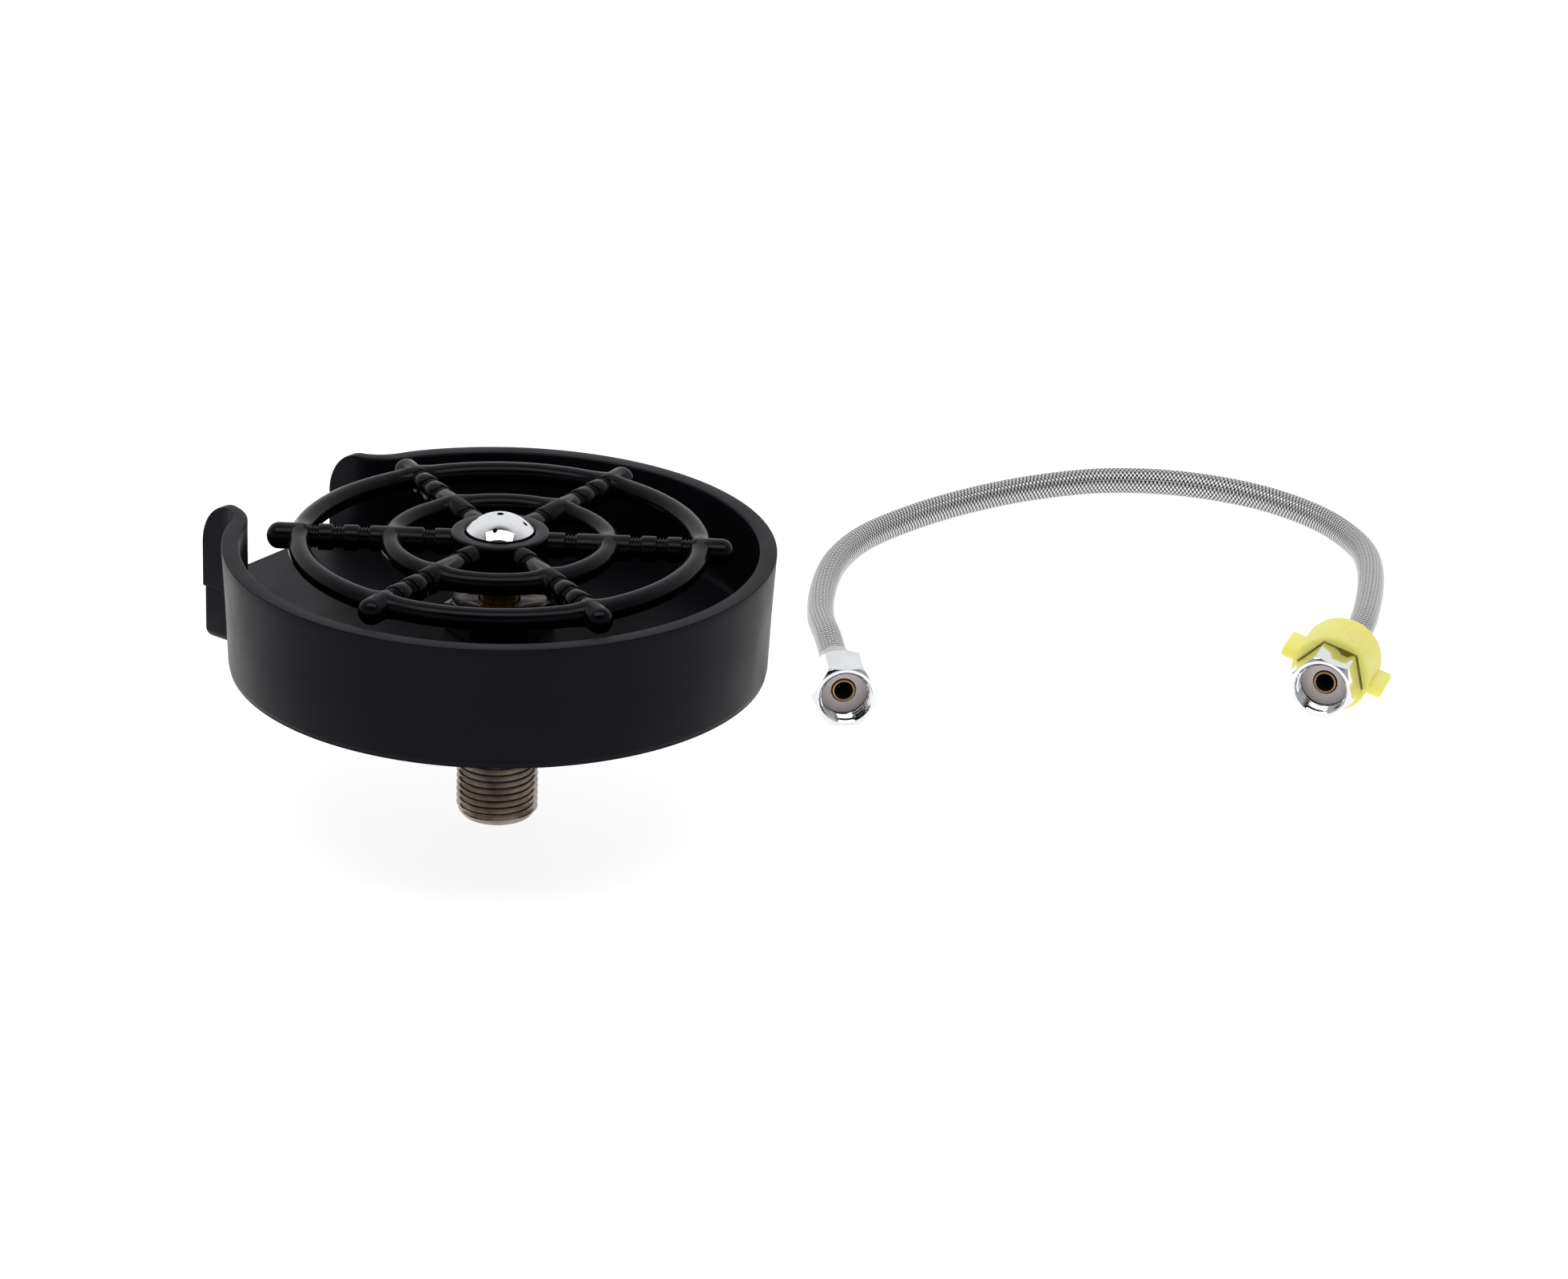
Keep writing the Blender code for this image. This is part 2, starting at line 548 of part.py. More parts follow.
def make_hose_end(finishes, side, mouth, direction, turn):
    """Nut, washer, brass tail and crimped ferrule, built along local +Z from the nut's mouth."""
    axis = marker(f"{side}_end_axis", mouth, end_frame(direction, turn))
    washer_end = WASHER_FRONT + WASHER_THICKNESS
    flange = washer_end + GAP
    flange_end = flange + TAIL_FLANGE
    corner = NUT_FLATS / sqrt(3)
    nut = add_object(f"{side}_nut", stacked([
        hexagon(NUT_FLATS, 0), hexagon(NUT_FLATS, NUT_LENGTH)]), finishes["chrome"], parent=axis)
    rounding = add_object(f"{side}_nut_rounding", turned([
        (0, 0), (corner - 1.25, 0), (corner - 0.4, 0.7), (corner + 0.4, 2.2),
        (corner + 0.4, NUT_LENGTH - 2.2),
        (corner - 0.8, NUT_LENGTH - 0.6), (corner - 2.2, NUT_LENGTH), (0, NUT_LENGTH)],
        32, closed=False), finishes["chrome"], parent=axis)
    shape_with(nut, rounding, "INTERSECT")
    bore = add_object(f"{side}_nut_bore_cutter", turned([
        (0, -1), (NUT_BORE + 0.4, -1), (NUT_BORE + 0.4, 0), (NUT_BORE, 0.6),
        (NUT_BORE, flange_end + GAP), (TAIL_RADIUS + 0.5, flange_end + GAP),
        (TAIL_RADIUS + 0.5, NUT_LENGTH + 1), (0, NUT_LENGTH + 1)], SMALL_ROUND, closed=False),
        finishes["chrome"], parent=axis)
    shape_with(nut, bore)

    add_object(f"{side}_washer", turned([
        (TAIL_RADIUS + GAP, WASHER_FRONT), (NUT_BORE - 0.3, WASHER_FRONT),
        (NUT_BORE - 0.3, washer_end), (TAIL_RADIUS + GAP, washer_end)], SMALL_ROUND),
        finishes["washer_rubber"], parent=axis)
    add_object(f"{side}_tail", turned([
        (TAIL_BORE, WASHER_FRONT - 0.4), (TAIL_RADIUS, WASHER_FRONT - 0.4), (TAIL_RADIUS, flange),
        (NUT_BORE - 0.5, flange), (NUT_BORE - 0.5, flange_end), (TAIL_RADIUS, flange_end),
        (TAIL_RADIUS, 20.0), (TAIL_BORE, 20.0)],
        SMALL_ROUND), finishes["brass"], parent=axis)

    start = NUT_LENGTH + GAP
    end = start + FERRULE_LENGTH - GAP
    crimp = FERRULE_RADIUS - 0.35
    add_object(f"{side}_ferrule", turned([
        (0, 20.5), (TAIL_RADIUS + GAP, 20.5), (TAIL_RADIUS + GAP, start), (FERRULE_RADIUS - 0.4, start),
        (FERRULE_RADIUS, start + 0.4), (FERRULE_RADIUS, start + 3), (crimp, start + 3.5),
        (crimp, start + 5), (FERRULE_RADIUS, start + 5.5), (FERRULE_RADIUS, end - 0.5),
        (FERRULE_RADIUS - 0.5, end), (0, end)], SMALL_ROUND, closed=False),
        finishes["steel"], parent=axis)
    return axis


def make_cover(finishes, axis):
    """The winged hand cover: a sleeve with a hexagonal mouth and two ears."""
    finish = finishes["cover_plastic"]
    end = COVER_FRONT + COVER_LENGTH
    cover = add_object("wing_cover", turned([
        (0, COVER_FRONT), (COVER_RADIUS - 0.6, COVER_FRONT), (COVER_RADIUS, COVER_FRONT + 0.8),
        (COVER_RADIUS, end - 2.0), (COVER_RADIUS - 2.0, end), (0, end)], ROUND, closed=False),
        finish, parent=axis)
    ears = add_object("cover_ears_shape", stacked([
        [(-EAR_REACH, -1.5, z), (EAR_REACH, -1.5, z), (EAR_REACH, 1.5, z), (-EAR_REACH, 1.5, z)]
        for z in (COVER_FRONT + 1.5, COVER_FRONT + 13.5)]), finish, parent=axis)
    shape_with(cover, ears, "UNION")
    socket = add_object("cover_socket_cutter", stacked([
        hexagon(NUT_FLATS + 0.7, COVER_FRONT - 1), hexagon(NUT_FLATS + 0.7, NUT_LENGTH + GAP)]),
        finish, parent=axis)
    shape_with(cover, socket)
    bore = add_object("cover_bore_cutter", turned([
        (0, COVER_FRONT - 1), (FERRULE_RADIUS + 1.2, COVER_FRONT - 1),
        (FERRULE_RADIUS + 1.2, end + 1), (0, end + 1)], SMALL_ROUND, closed=False),
        finish, parent=axis)
    shape_with(cover, bore)


def along_axis(mouth, direction, distance):
    """A point on a nut's axis, that far behind its mouth."""
    angle = radians(direction)
    return Vector((mouth[0] + distance * cos(angle), mouth[1] + distance * sin(angle), mouth[2]))


def smooth_path(points, spacing):
    """Points a spacing apart on a centripetal Catmull-Rom curve through the given ones."""
    first = points[0] * 2 - points[1]
    last = points[-1] * 2 - points[-2]
    knots = [first, *points, last]
    fine = []
    for a, b, c, d in zip(knots, knots[1:], knots[2:], knots[3:]):
        t0 = 0.0
        t1 = t0 + sqrt((b - a).length)
        t2 = t1 + sqrt((c - b).length)
        t3 = t2 + sqrt((d - c).length)
        steps = 24
        for k in range(steps):
            t = t1 + (t2 - t1) * k / steps
            ab = a.lerp(b, (t - t0) / (t1 - t0))
            bc = b.lerp(c, (t - t1) / (t2 - t1))
            cd = c.lerp(d, (t - t2) / (t3 - t2))
            fine.append(ab.lerp(bc, (t - t0) / (t2 - t0)).lerp(
                bc.lerp(cd, (t - t1) / (t3 - t1)), (t - t1) / (t2 - t1)))
    fine.append(points[-1])
    total = sum((b - a).length for a, b in zip(fine, fine[1:]))
    count = max(2, round(total / spacing))
    step = total / count
    path = [fine[0]]
    walked = 0.0
    for a, b in zip(fine, fine[1:]):
        span = (b - a).length
        while len(path) < count and walked + span >= step * len(path):
            path.append(a.lerp(b, (step * len(path) - walked) / span))
        walked += span
    path.append(fine[-1])
    return path


def hose_points():
    behind = NUT_LENGTH + FERRULE_LENGTH + GAP
    left = [along_axis(LEFT_MOUTH, LEFT_DIRECTION, behind + extra) for extra in (0, 8, 16)]
    right = [along_axis(RIGHT_MOUTH, RIGHT_DIRECTION, behind + extra) for extra in (24, 12, 0)]
    return left + [Vector(point) for point in HOSE_ROUTE] + right


def make_hose(finishes):
    curve = bpy.data.curves.new("braided_hose", "CURVE")
    curve.dimensions = "3D"
    curve.bevel_depth = HOSE_RADIUS * MM
    curve.bevel_resolution = 2
    curve.use_fill_caps = True
    points = smooth_path(hose_points(), HOSE_RADIUS * 4)
    path = curve.splines.new("POLY")
    path.points.add(len(points) - 1)
    for spot, point in zip(path.points, points):
        spot.co = (*(point * MM), 1)
    curve.materials.append(finishes["braid"])
    hose = bpy.data.objects.new("braided_hose", curve)
    bpy.context.scene.collection.objects.link(hose)


def main():
    clear_scene()
    finishes = make_materials()
    make_basin(finishes)
    axis = marker("rinser_axis", (0, AXIS_Y, 0))
    make_valve(finishes, axis)
    make_inlet(finishes, axis)
    make_plunger(finishes, marker("plunger_slide", (0, 0, 0), parent=axis))
    turntable = marker("star_turntable", (0, 0, 0), parent=axis)
    turntable.rotation_euler = (0, 0, radians(STAR_TURN))
    make_star(finishes, turntable)
    make_hose_end(finishes, "left", LEFT_MOUTH, LEFT_DIRECTION, 0)
    right = make_hose_end(finishes, "right", RIGHT_MOUTH, RIGHT_DIRECTION, COVER_TURN)
    make_cover(finishes, right)
    make_hose(finishes)


main()
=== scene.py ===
"""The looks of the glass rinser and its braided hose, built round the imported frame.

Lengths in the shape functions are in millimetres; MM turns them into metres.
"""
import json
from math import asin, atan2, cos, exp, hypot, pi, radians, sin, sqrt

import bmesh
import bpy
import numpy as np
from mathutils import Matrix, Vector


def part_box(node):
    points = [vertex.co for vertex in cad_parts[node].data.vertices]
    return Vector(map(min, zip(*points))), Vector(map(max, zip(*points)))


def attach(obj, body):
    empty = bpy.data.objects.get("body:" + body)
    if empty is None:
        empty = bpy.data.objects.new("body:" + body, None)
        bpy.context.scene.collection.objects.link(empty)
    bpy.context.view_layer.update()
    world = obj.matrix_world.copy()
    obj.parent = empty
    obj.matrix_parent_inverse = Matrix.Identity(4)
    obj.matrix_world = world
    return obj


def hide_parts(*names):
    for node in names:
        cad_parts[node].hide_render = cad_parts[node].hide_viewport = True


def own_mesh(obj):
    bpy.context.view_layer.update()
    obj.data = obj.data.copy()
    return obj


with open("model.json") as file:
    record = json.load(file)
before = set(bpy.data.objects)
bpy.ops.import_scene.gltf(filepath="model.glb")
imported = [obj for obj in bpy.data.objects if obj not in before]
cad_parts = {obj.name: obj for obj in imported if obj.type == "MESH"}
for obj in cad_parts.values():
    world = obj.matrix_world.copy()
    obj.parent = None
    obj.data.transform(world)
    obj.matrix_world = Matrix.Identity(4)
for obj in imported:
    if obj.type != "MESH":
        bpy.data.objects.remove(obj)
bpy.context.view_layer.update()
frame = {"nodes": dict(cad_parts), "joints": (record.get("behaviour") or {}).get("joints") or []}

MM = 0.001
JOINTS = {joint["name"]: joint for joint in frame["joints"]}
AXIS = Vector((JOINTS["star_turn"]["pos_m"][0], JOINTS["star_turn"]["pos_m"][1], 0))
STAR_TURN = 5.0
RINSER = Matrix.Translation(AXIS)
STAR = RINSER @ Matrix.Rotation(radians(STAR_TURN), 4, "Z")

# Sizes that the frame gives.
BASIN_LOW, BASIN_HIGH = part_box("basin")
RIM_RADIUS = BASIN_HIGH.x / MM
RIM_Z = BASIN_HIGH.z / MM
STAR_LOW, STAR_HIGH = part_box("star_grate")
SHANK_TOP_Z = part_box("threaded_shank")[1].z / MM

# Sizes of the basin. The draft, the tongue's tip and the steps of the plan are the looks' own.
WALL_RADIUS = RIM_RADIUS - 1.5
WALL = 3.0
SKIRT_Z = 42.0
FLOOR_TOP_Z = 51.0
FLOOR_UNDER_Z = 48.0
SPOUT_HALF_WIDTH = 26.3
SPOUT_FILLET = 12.0
SPOUT_TIP = 77.0
CORNER_LENGTH = 9.0
CORNER_HEIGHT = 11.5
TONGUE_Z = BASIN_LOW.z / MM
TONGUE_TIP = 76.6
DRAFT_END_Z = 48.0
BEND_Z = 58.0
WALL_TURNS = 110

# Sizes of the shank, the valve's nut and the star.
SHANK_RADIUS = 10.4775
SHANK_BORE = 6.2
SHANK_INLET = 7.6
SHANK_SEAT = 8.0
FLANGE_RADIUS = 17.0
FLANGE_LOW_Z = 43.2
FLANGE_HIGH_Z = 46.2
THREAD_PITCH = 1.814
THREAD_DEPTH = 1.16
VALVE_FLATS = 24.2
VALVE_LOW_Z = 51.3
VALVE_TOP_Z = 59.3
VALVE_TURN = 10.0
STAR_Z = 74.0
STAR_TIP = 59.0
SPOKE_RADIUS = 3.4
OUTER_RING = 50.6
INNER_RING = 27.5
RING_TUBE = 2.85
HUB_RADIUS = 12.5
HUB_Z = STAR_LOW.z / MM
HUB_TOP_Z = STAR_HIGH.z / MM
STAR_BORE = 5.3
SEAT_Z = 74.6
DOME_RADIUS = 8.5
CENTRE_JET = 0.9
OUTER_JET = 0.6
JET_CIRCLE = 6.4
JET_TURN = 22.0
DOME_TOP_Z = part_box("spray_dome")[1].z / MM

# Sizes of the hose and its ends.
HOSE_RADIUS = 3.75
NUT_FLATS = 16.2
NUT_LENGTH = 14.0
NUT_BORE = 6.9
FERRULE_RADIUS = 4.65
FERRULE_LENGTH = 12.0
TAIL_RADIUS = 3.05
TAIL_BORE = 2.5
TAIL_END = 20.0
WASHER_FRONT = 5.3
WASHER_END = 7.1
FLANGE = 7.4
FLANGE_END = 8.8
COVER_RADIUS = 11.0
COVER_FRONT = 11.0
COVER_LENGTH = 17.0
COVER_TURN = 16.6
EAR_REACH = 14.8

# The hose's route between its ferrules, in millimetres, as part.py has it.
HOSE_ROUTE = [
    (-150.0, -3.0, 5.9), (-173.0, -18.5, 4.1), (-191.5, -27.5, 3.9), (-210.0, -31.8, 3.9),
    (-230.0, -31.3, 3.9), (-253.0, -27.0, 3.9), (-277.0, -18.0, 3.9), (-297.0, -4.5, 3.9),
    (-310.0, 14.5, 3.9), (-315.5, 38.0, 3.9), (-312.0, 61.0, 3.9), (-301.0, 80.0, 4.2),
    (-283.5, 94.8, 5.9),
]


# ------------------------ camera

def direction(azimuth, elevation):
    """Unit vector towards a viewpoint in degrees, its azimuth counted from -Y towards +X."""
    azimuth, elevation = radians(azimuth), radians(elevation)
    return Vector((sin(azimuth) * cos(elevation), -cos(azimuth) * cos(elevation), sin(elevation)))


def in_scene(name, data):
    """A new object with that data, linked to the scene."""
    item = bpy.data.objects.new(name, data)
    bpy.context.scene.collection.objects.link(item)
    return item


def make_camera():
    """A long lens that looks down on the spout's far side, the hose lying behind."""
    back, roll = direction(125.766, 22.445), radians(1.934)
    distance, target = 1.4344, Vector((-0.0825, 0.0333, 0.030))
    sensor_width, focal_length, picture_width = 36.0, 6804.6, 1962
    data = bpy.data.cameras.new("camera")
    data.sensor_width = sensor_width
    data.lens = sensor_width * focal_length / picture_width
    data.clip_start = 0.05
    data.clip_end = 50
    camera = in_scene("camera", data)
    camera.rotation_mode = "QUATERNION"
    look = (-back).to_track_quat("-Z", "Y")
    camera.rotation_quaternion = (look.to_matrix() @ Matrix.Rotation(roll, 3, "Z")).to_quaternion()
    camera.location = target + back * distance
    bpy.context.scene.camera = camera


# ------------------------ materials

# The range in which a noise texture's values mostly lie.
NOISE_LOW, NOISE_HIGH = 0.3, 0.7


def fill(node, values):
    """Sets a shader node's inputs by name."""
    for name, value in values.items():
        node.inputs[name].default_value = value


class Finish:
    """A material with its Principled shader and short ways to vary it."""

    def __init__(self, name, colour, roughness, metallic=0.0):
        self.material = bpy.data.materials.new(name)
        self.material.use_nodes = True
        self.tree = self.material.node_tree
        self.shader = self.tree.nodes["Principled BSDF"]
        fill(self.shader, {"Base Color": (*colour, 1.0), "Roughness": roughness,
                           "Metallic": metallic})
        self.place = self.add("ShaderNodeTexCoord").outputs["Object"]

    def add(self, kind, **values):
        node = self.tree.nodes.new(kind)
        for key, value in values.items():
            setattr(node, key, value)
        return node

    def link(self, source, target):
        self.tree.links.new(source, target)

    def noise(self, scale, detail, roughness=0.5, vector=None):
        node = self.add("ShaderNodeTexNoise")
        fill(node, {"Scale": scale, "Detail": detail, "Roughness": roughness})
        self.link(vector or self.place, node.inputs["Vector"])
        return node.outputs["Fac"]

    def stretched(self, scale):
        """Object coordinates scaled unevenly, for marks left by turning."""
        node = self.add("ShaderNodeMapping")
        fill(node, {"Scale": scale})
        self.link(self.place, node.inputs["Vector"])
        return node.outputs["Vector"]

    def paint(self, value, stops):
        """Colours the surface by value, through a ramp of (place, colour) stops."""
        ramp = self.add("ShaderNodeValToRGB")
        while len(ramp.color_ramp.elements) < len(stops):
            ramp.color_ramp.elements.new(0.5)
        for element, (place, colour) in zip(ramp.color_ramp.elements, stops):
            element.position = place
            element.color = (*colour, 1.0)
        self.link(value, ramp.inputs["Fac"])
        self.link(ramp.outputs["Color"], self.shader.inputs["Base Color"])

    def rough(self, value, low, high, start=NOISE_LOW, end=NOISE_HIGH):
        """Takes the roughness from low to high as value goes from start to end."""
        node = self.add("ShaderNodeMapRange")
        fill(node, {"From Min": start, "From Max": end, "To Min": low, "To Max": high})
        self.link(value, node.inputs["Value"])
        self.link(node.outputs["Result"], self.shader.inputs["Roughness"])

    def bump(self, height, strength, distance):
        node = self.add("ShaderNodeBump")
        fill(node, {"Strength": strength, "Distance": distance})
        self.link(height, node.inputs["Height"])
        self.link(node.outputs["Normal"], self.shader.inputs["Normal"])


def basin_finish():
    """Moulded matte plastic: blue-black, a fine spark-eroded grain, faint flow clouds."""
    f = Finish("basin_plastic_look", (0.0048, 0.0047, 0.0068), 0.36)
    f.paint(f.noise(28, 3), [(0.30, (0.0042, 0.0041, 0.0060)), (0.70, (0.0056, 0.0055, 0.0077))])
    f.rough(f.noise(70, 4), 0.30, 0.40)
    f.bump(f.noise(3600, 2), 0.10, 0.00005)
    fill(f.shader, {"Specular IOR Level": 0.07, "Specular Tint": (0.84, 0.85, 1.0, 1.0)})
    return f.material


def star_finish():
    """Semi-gloss black moulding: faint long waves and a trace of handling haze."""
    f = Finish("star_plastic_look", (0.0014, 0.0014, 0.0020), 0.17)
    f.paint(f.noise(55, 4), [(0.3, (0.0011, 0.0011, 0.0016)), (0.75, (0.0020, 0.0020, 0.0028))])
    f.rough(f.noise(120, 4), 0.13, 0.22)
    f.bump(f.noise(420, 2), 0.08, 0.0001)
    fill(f.shader, {"Specular IOR Level": 0.12, "Specular Tint": (0.88, 0.89, 1.0, 1.0)})
    return f.material


def chrome_finish():
    """Polished plating with a trace of haze."""
    f = Finish("chrome_look", (0.82, 0.83, 0.85), 0.07, 1.0)
    f.paint(f.noise(140, 3), [(0.3, (0.78, 0.79, 0.82)), (0.7, (0.86, 0.87, 0.88))])
    f.rough(f.noise(260, 4), 0.03, 0.07)
    f.bump(f.noise(500, 2), 0.03, 0.0002)
    return f.material


def nickel_finish(name, shade):
    """Gunmetal nickel over brass, mottled, with turned marks round the axis; shade scales every
    colour, and the valve's copy at 0.35 is painted shade.
    """
    f = Finish(name, (0.36 * shade, 0.33 * shade, 0.30 * shade), 0.25, 1.0)
    f.paint(f.noise(170, 4), [
        (place, tuple(part * shade for part in colour)) for place, colour in (
            (0.25, (0.24, 0.205, 0.175)), (0.55, (0.38, 0.33, 0.29)), (0.80, (0.50, 0.44, 0.385)))])
    f.rough(f.noise(300, 4), 0.12, 0.24)
    f.bump(f.noise(900, 3, vector=f.stretched((0.2, 0.2, 6.0))), 0.12, 0.0001)
    return f.material


def brass_finish():
    """Plain turned brass, dulled by handling."""
    f = Finish("brass_look", (0.42, 0.27, 0.12), 0.30, 1.0)
    f.paint(f.noise(200, 4), [(0.3, (0.32, 0.20, 0.09)), (0.7, (0.52, 0.35, 0.16))])
    f.rough(f.noise(350, 4), 0.2, 0.4)
    f.bump(f.noise(900, 3, vector=f.stretched((0.3, 0.3, 5.0))), 0.1, 0.0001)
    return f.material


def steel_finish():
    """Satin stainless steel."""
    f = Finish("steel_look", (0.58, 0.575, 0.565), 0.26, 1.0)
    f.paint(f.noise(180, 4), [(0.3, (0.50, 0.495, 0.485)), (0.7, (0.66, 0.655, 0.65))])
    f.rough(f.noise(400, 4), 0.16, 0.34)
    f.bump(f.noise(800, 3), 0.08, 0.0001)
    return f.material


def rubber_finish(name, dark, light, roughness):
    """Matte rubber that is mottled between two colours."""
    f = Finish(name, dark, roughness)
    f.paint(f.noise(260, 5, 0.65), [(0.3, dark), (0.75, light)])
    f.rough(f.noise(420, 4), roughness - 0.1, roughness + 0.08)
    f.bump(f.noise(1500, 4), 0.3, 0.0001)
    return f.material


def guide_finish():
    """Off-white bearing plastic."""
    f = Finish("guide_plastic_look", (0.74, 0.73, 0.69), 0.45)
    f.paint(f.noise(120, 3), [(0.3, (0.70, 0.69, 0.64)), (0.7, (0.78, 0.77, 0.73))])
    f.rough(f.noise(300, 3), 0.36, 0.52)
    f.bump(f.noise(1200, 3), 0.1, 0.0001)
    return f.material


def cover_finish():
    """Soft pale-yellow plastic that lets a little light through."""
    f = Finish("cover_plastic_look", (0.98, 0.90, 0.19), 0.45)
    f.paint(f.noise(90, 3), [(0.3, (1.0, 0.88, 0.19)), (0.7, (1.0, 0.91, 0.25))])
    f.rough(f.noise(260, 3), 0.36, 0.5)
    f.bump(f.noise(1400, 2), 0.12, 0.0001)
    fill(f.shader, {"Subsurface Weight": 0.6, "Subsurface Radius": (1.0, 0.9, 0.3),
                    "Subsurface Scale": 0.004})
    return f.material


def braid_finish():
    """Bright wire over a dark liner; a value stored on the mesh darkens the weave's corners, where the
    liner shows, and paints shade into the gaps along the strands' edges.
    """
    f = Finish("braid_look", (0.66, 0.66, 0.66), 0.2, 1.0)
    liner_and_gap_shade = f.add("ShaderNodeAttribute", attribute_name="liner_and_gap_shade").outputs["Fac"]
    f.paint(liner_and_gap_shade, [(0.0, (0.82, 0.815, 0.82)), (0.26, (0.40, 0.39, 0.40)),
                     (0.42, (0.02, 0.02, 0.02)), (1.0, (0.004, 0.004, 0.004))])
    f.rough(liner_and_gap_shade, 0.28, 0.7, 0.2, 0.9)
    f.bump(f.noise(2600, 2), 0.08, 0.0001)
    return f.material


def floor_finish():
    """A lit white table: its own glow keeps shadows faint."""
    f = Finish("floor_look", (0.32, 0.32, 0.32), 0.7)
    f.paint(f.noise(3, 3), [(0.3, (0.31, 0.31, 0.312)), (0.7, (0.33, 0.33, 0.332))])
    fill(f.shader, {"Emission Color": (1.0, 1.0, 1.0, 1.0), "Emission Strength": 0.87})
    return f.material


def make_finishes():
    return {
        "basin": basin_finish(),
        "star": star_finish(),
        "chrome": chrome_finish(),
        "shank": nickel_finish("nickel_shank_look", 1.0),
        # The valve's nut takes the shank's nickel at 0.35 of its brightness: painted shade for the dim
        # floor under the star.
        "valve": nickel_finish("nickel_valve_painted_shade_look", 0.35),
        "brass": brass_finish(),
        "steel": steel_finish(),
        "black_rubber": rubber_finish(
            "black_rubber_look", (0.014, 0.014, 0.015), (0.03, 0.03, 0.031), 0.68),
        "washer": rubber_finish(
            "washer_rubber_look", (0.64, 0.58, 0.57), (0.76, 0.69, 0.68), 0.55),
        "guide": guide_finish(),
        "cover": cover_finish(),
        "braid": braid_finish(),
        "floor": floor_finish(),
    }


# ------------------------ mesh helpers

def reshape(mesh, change=None):
    """Runs change on the mesh, as a bmesh, then turns all its faces outwards."""
    shape = bmesh.new()
    shape.from_mesh(mesh)
    if change:
        change(shape)
    bmesh.ops.recalc_face_normals(shape, faces=shape.faces)
    shape.to_mesh(mesh)
    shape.free()


def make_object(name, points, faces, finish, place=None, sharp=35):
    """A smooth-shaded object from points in millimetres, moved to its place in metres."""
    mesh = bpy.data.meshes.new(name)
    mesh.from_pydata([tuple(Vector(p) * MM) for p in points], [], faces)
    reshape(mesh)
    if place is not None:
        mesh.transform(place)
    mesh.shade_smooth()
    mesh.set_sharp_from_angle(angle=radians(sharp))
    mesh.materials.append(FINISHES[finish])
    return in_scene(name, mesh)


def rounded(profile, radius, closed=True, steps=4):
    """The (r, z) outline with its corners turned into arcs of at most that radius."""
    count = len(profile)
    result = []
    for k, corner in enumerate(profile):
        if not closed and k in (0, count - 1):
            result.append(corner)
            continue
        before, after = profile[k - 1], profile[(k + 1) % count]
        a = Vector((before[0] - corner[0], before[1] - corner[1]))
        b = Vector((after[0] - corner[0], after[1] - corner[1]))
        turn = pi - a.angle(b)
        if turn < radians(12) or corner[0] == 0:
            result.append(corner)
            continue
        cut = min(radius * abs(sin(turn / 2) / cos(turn / 2)), a.length * 0.45, b.length * 0.45)
        start = Vector(corner) + a.normalized() * cut
        end = Vector(corner) + b.normalized() * cut
        for j in range(steps + 1):
            t = j / steps
            result.append(tuple(start * (1 - t) ** 2 + Vector(corner) * (2 * t * (1 - t))
                                + end * t * t))
    return result


def ring_section(inner, outer, low, high):
    """The (r, z) profile of a plain ring, or of a plain cylinder where inner is 0."""
    return [(inner, low), (outer, low), (outer, high), (inner, high)]


def band(low, high):
    """Faces between two closed rings of point numbers."""
    count = len(low)
    return [(low[k], low[(k + 1) % count], high[(k + 1) % count], high[k]) for k in range(count)]


def turned_data(profile, segments, closed=True, offset=None):
    """Points and faces of a body turned about Z; offset(angle, r, z) may move a point outwards."""
    points, rings = [], []
    for radius, z in profile:
        if radius == 0:
            rings.append([len(points)])
            points.append((0, 0, z))
            continue
        ring = []
        for k in range(segments):
            angle = 2 * pi * k / segments
            r = radius + (offset(angle, radius, z) if offset else 0)
            ring.append(len(points))
            points.append((r * cos(angle), r * sin(angle), z))
        rings.append(ring)
    pairs = list(zip(rings, rings[1:]))
    if closed:
        pairs.append((rings[-1], rings[0]))
    faces = []
    for low, high in pairs:
        if len(low) == 1:
            faces += [(low[0], high[(k + 1) % segments], high[k]) for k in range(segments)]
        elif len(high) == 1:
            faces += [(low[k], low[(k + 1) % segments], high[0]) for k in range(segments)]
        else:
            faces += band(low, high)
    return points, faces


def turned(name, profile, finish, place=None, segments=96, closed=True, round_off=0.25,
           offset=None):
    """An object turned about Z, its profile's corners rounded by round_off."""
    if round_off:
        profile = rounded(profile, round_off, closed)
    points, faces = turned_data(profile, segments, closed, offset)
    return make_object(name, points, faces, finish, place)


def solid(name, profile, finish, segments=96, place=None):
    """A turned object with sharp corners, its profile starting and ending on the axis."""
    return turned(name, profile, finish, place, segments, closed=False, round_off=0)


def stacked(name, loops, finish, place=None):
    """A body that runs through outlines of equal point count, capped at both ends."""
    points, faces, rings = [], [], []
    for loop in loops:
        rings.append(list(range(len(points), len(points) + len(loop))))
        points += loop
    for low, high in zip(rings, rings[1:]):
        faces += band(low, high)
    faces.append(tuple(rings[0]))
    faces.append(tuple(rings[-1]))
    return make_object(name, points, faces, finish, place)


def join_shape(base, tool, operation="DIFFERENCE", solver="MANIFOLD"):
    """Cuts or joins tool into base at once and removes the tool."""
    change = base.modifiers.new("shape", "BOOLEAN")
    change.operation = operation
    change.solver = solver
    change.object = tool
    settle(base)
    bpy.data.objects.remove(tool)


def settle(item, sharp=35):
    """Applies an object's modifiers to its mesh."""
    bpy.context.view_layer.update()
    depsgraph = bpy.context.evaluated_depsgraph_get()
    made = bpy.data.meshes.new_from_object(item.evaluated_get(depsgraph))
    item.modifiers.clear()
    item.data = made
    made.shade_smooth()
    made.set_sharp_from_angle(angle=radians(sharp))


def soften(item, width, segments=3, angle=30):
    """Rounds the sharp edges by width millimetres."""
    bevel = item.modifiers.new("edges", "BEVEL")
    bevel.width = width * MM
    bevel.segments = segments
    bevel.limit_method = "ANGLE"
    bevel.angle_limit = radians(angle)
    bevel.use_clamp_overlap = True
    settle(item, 40)


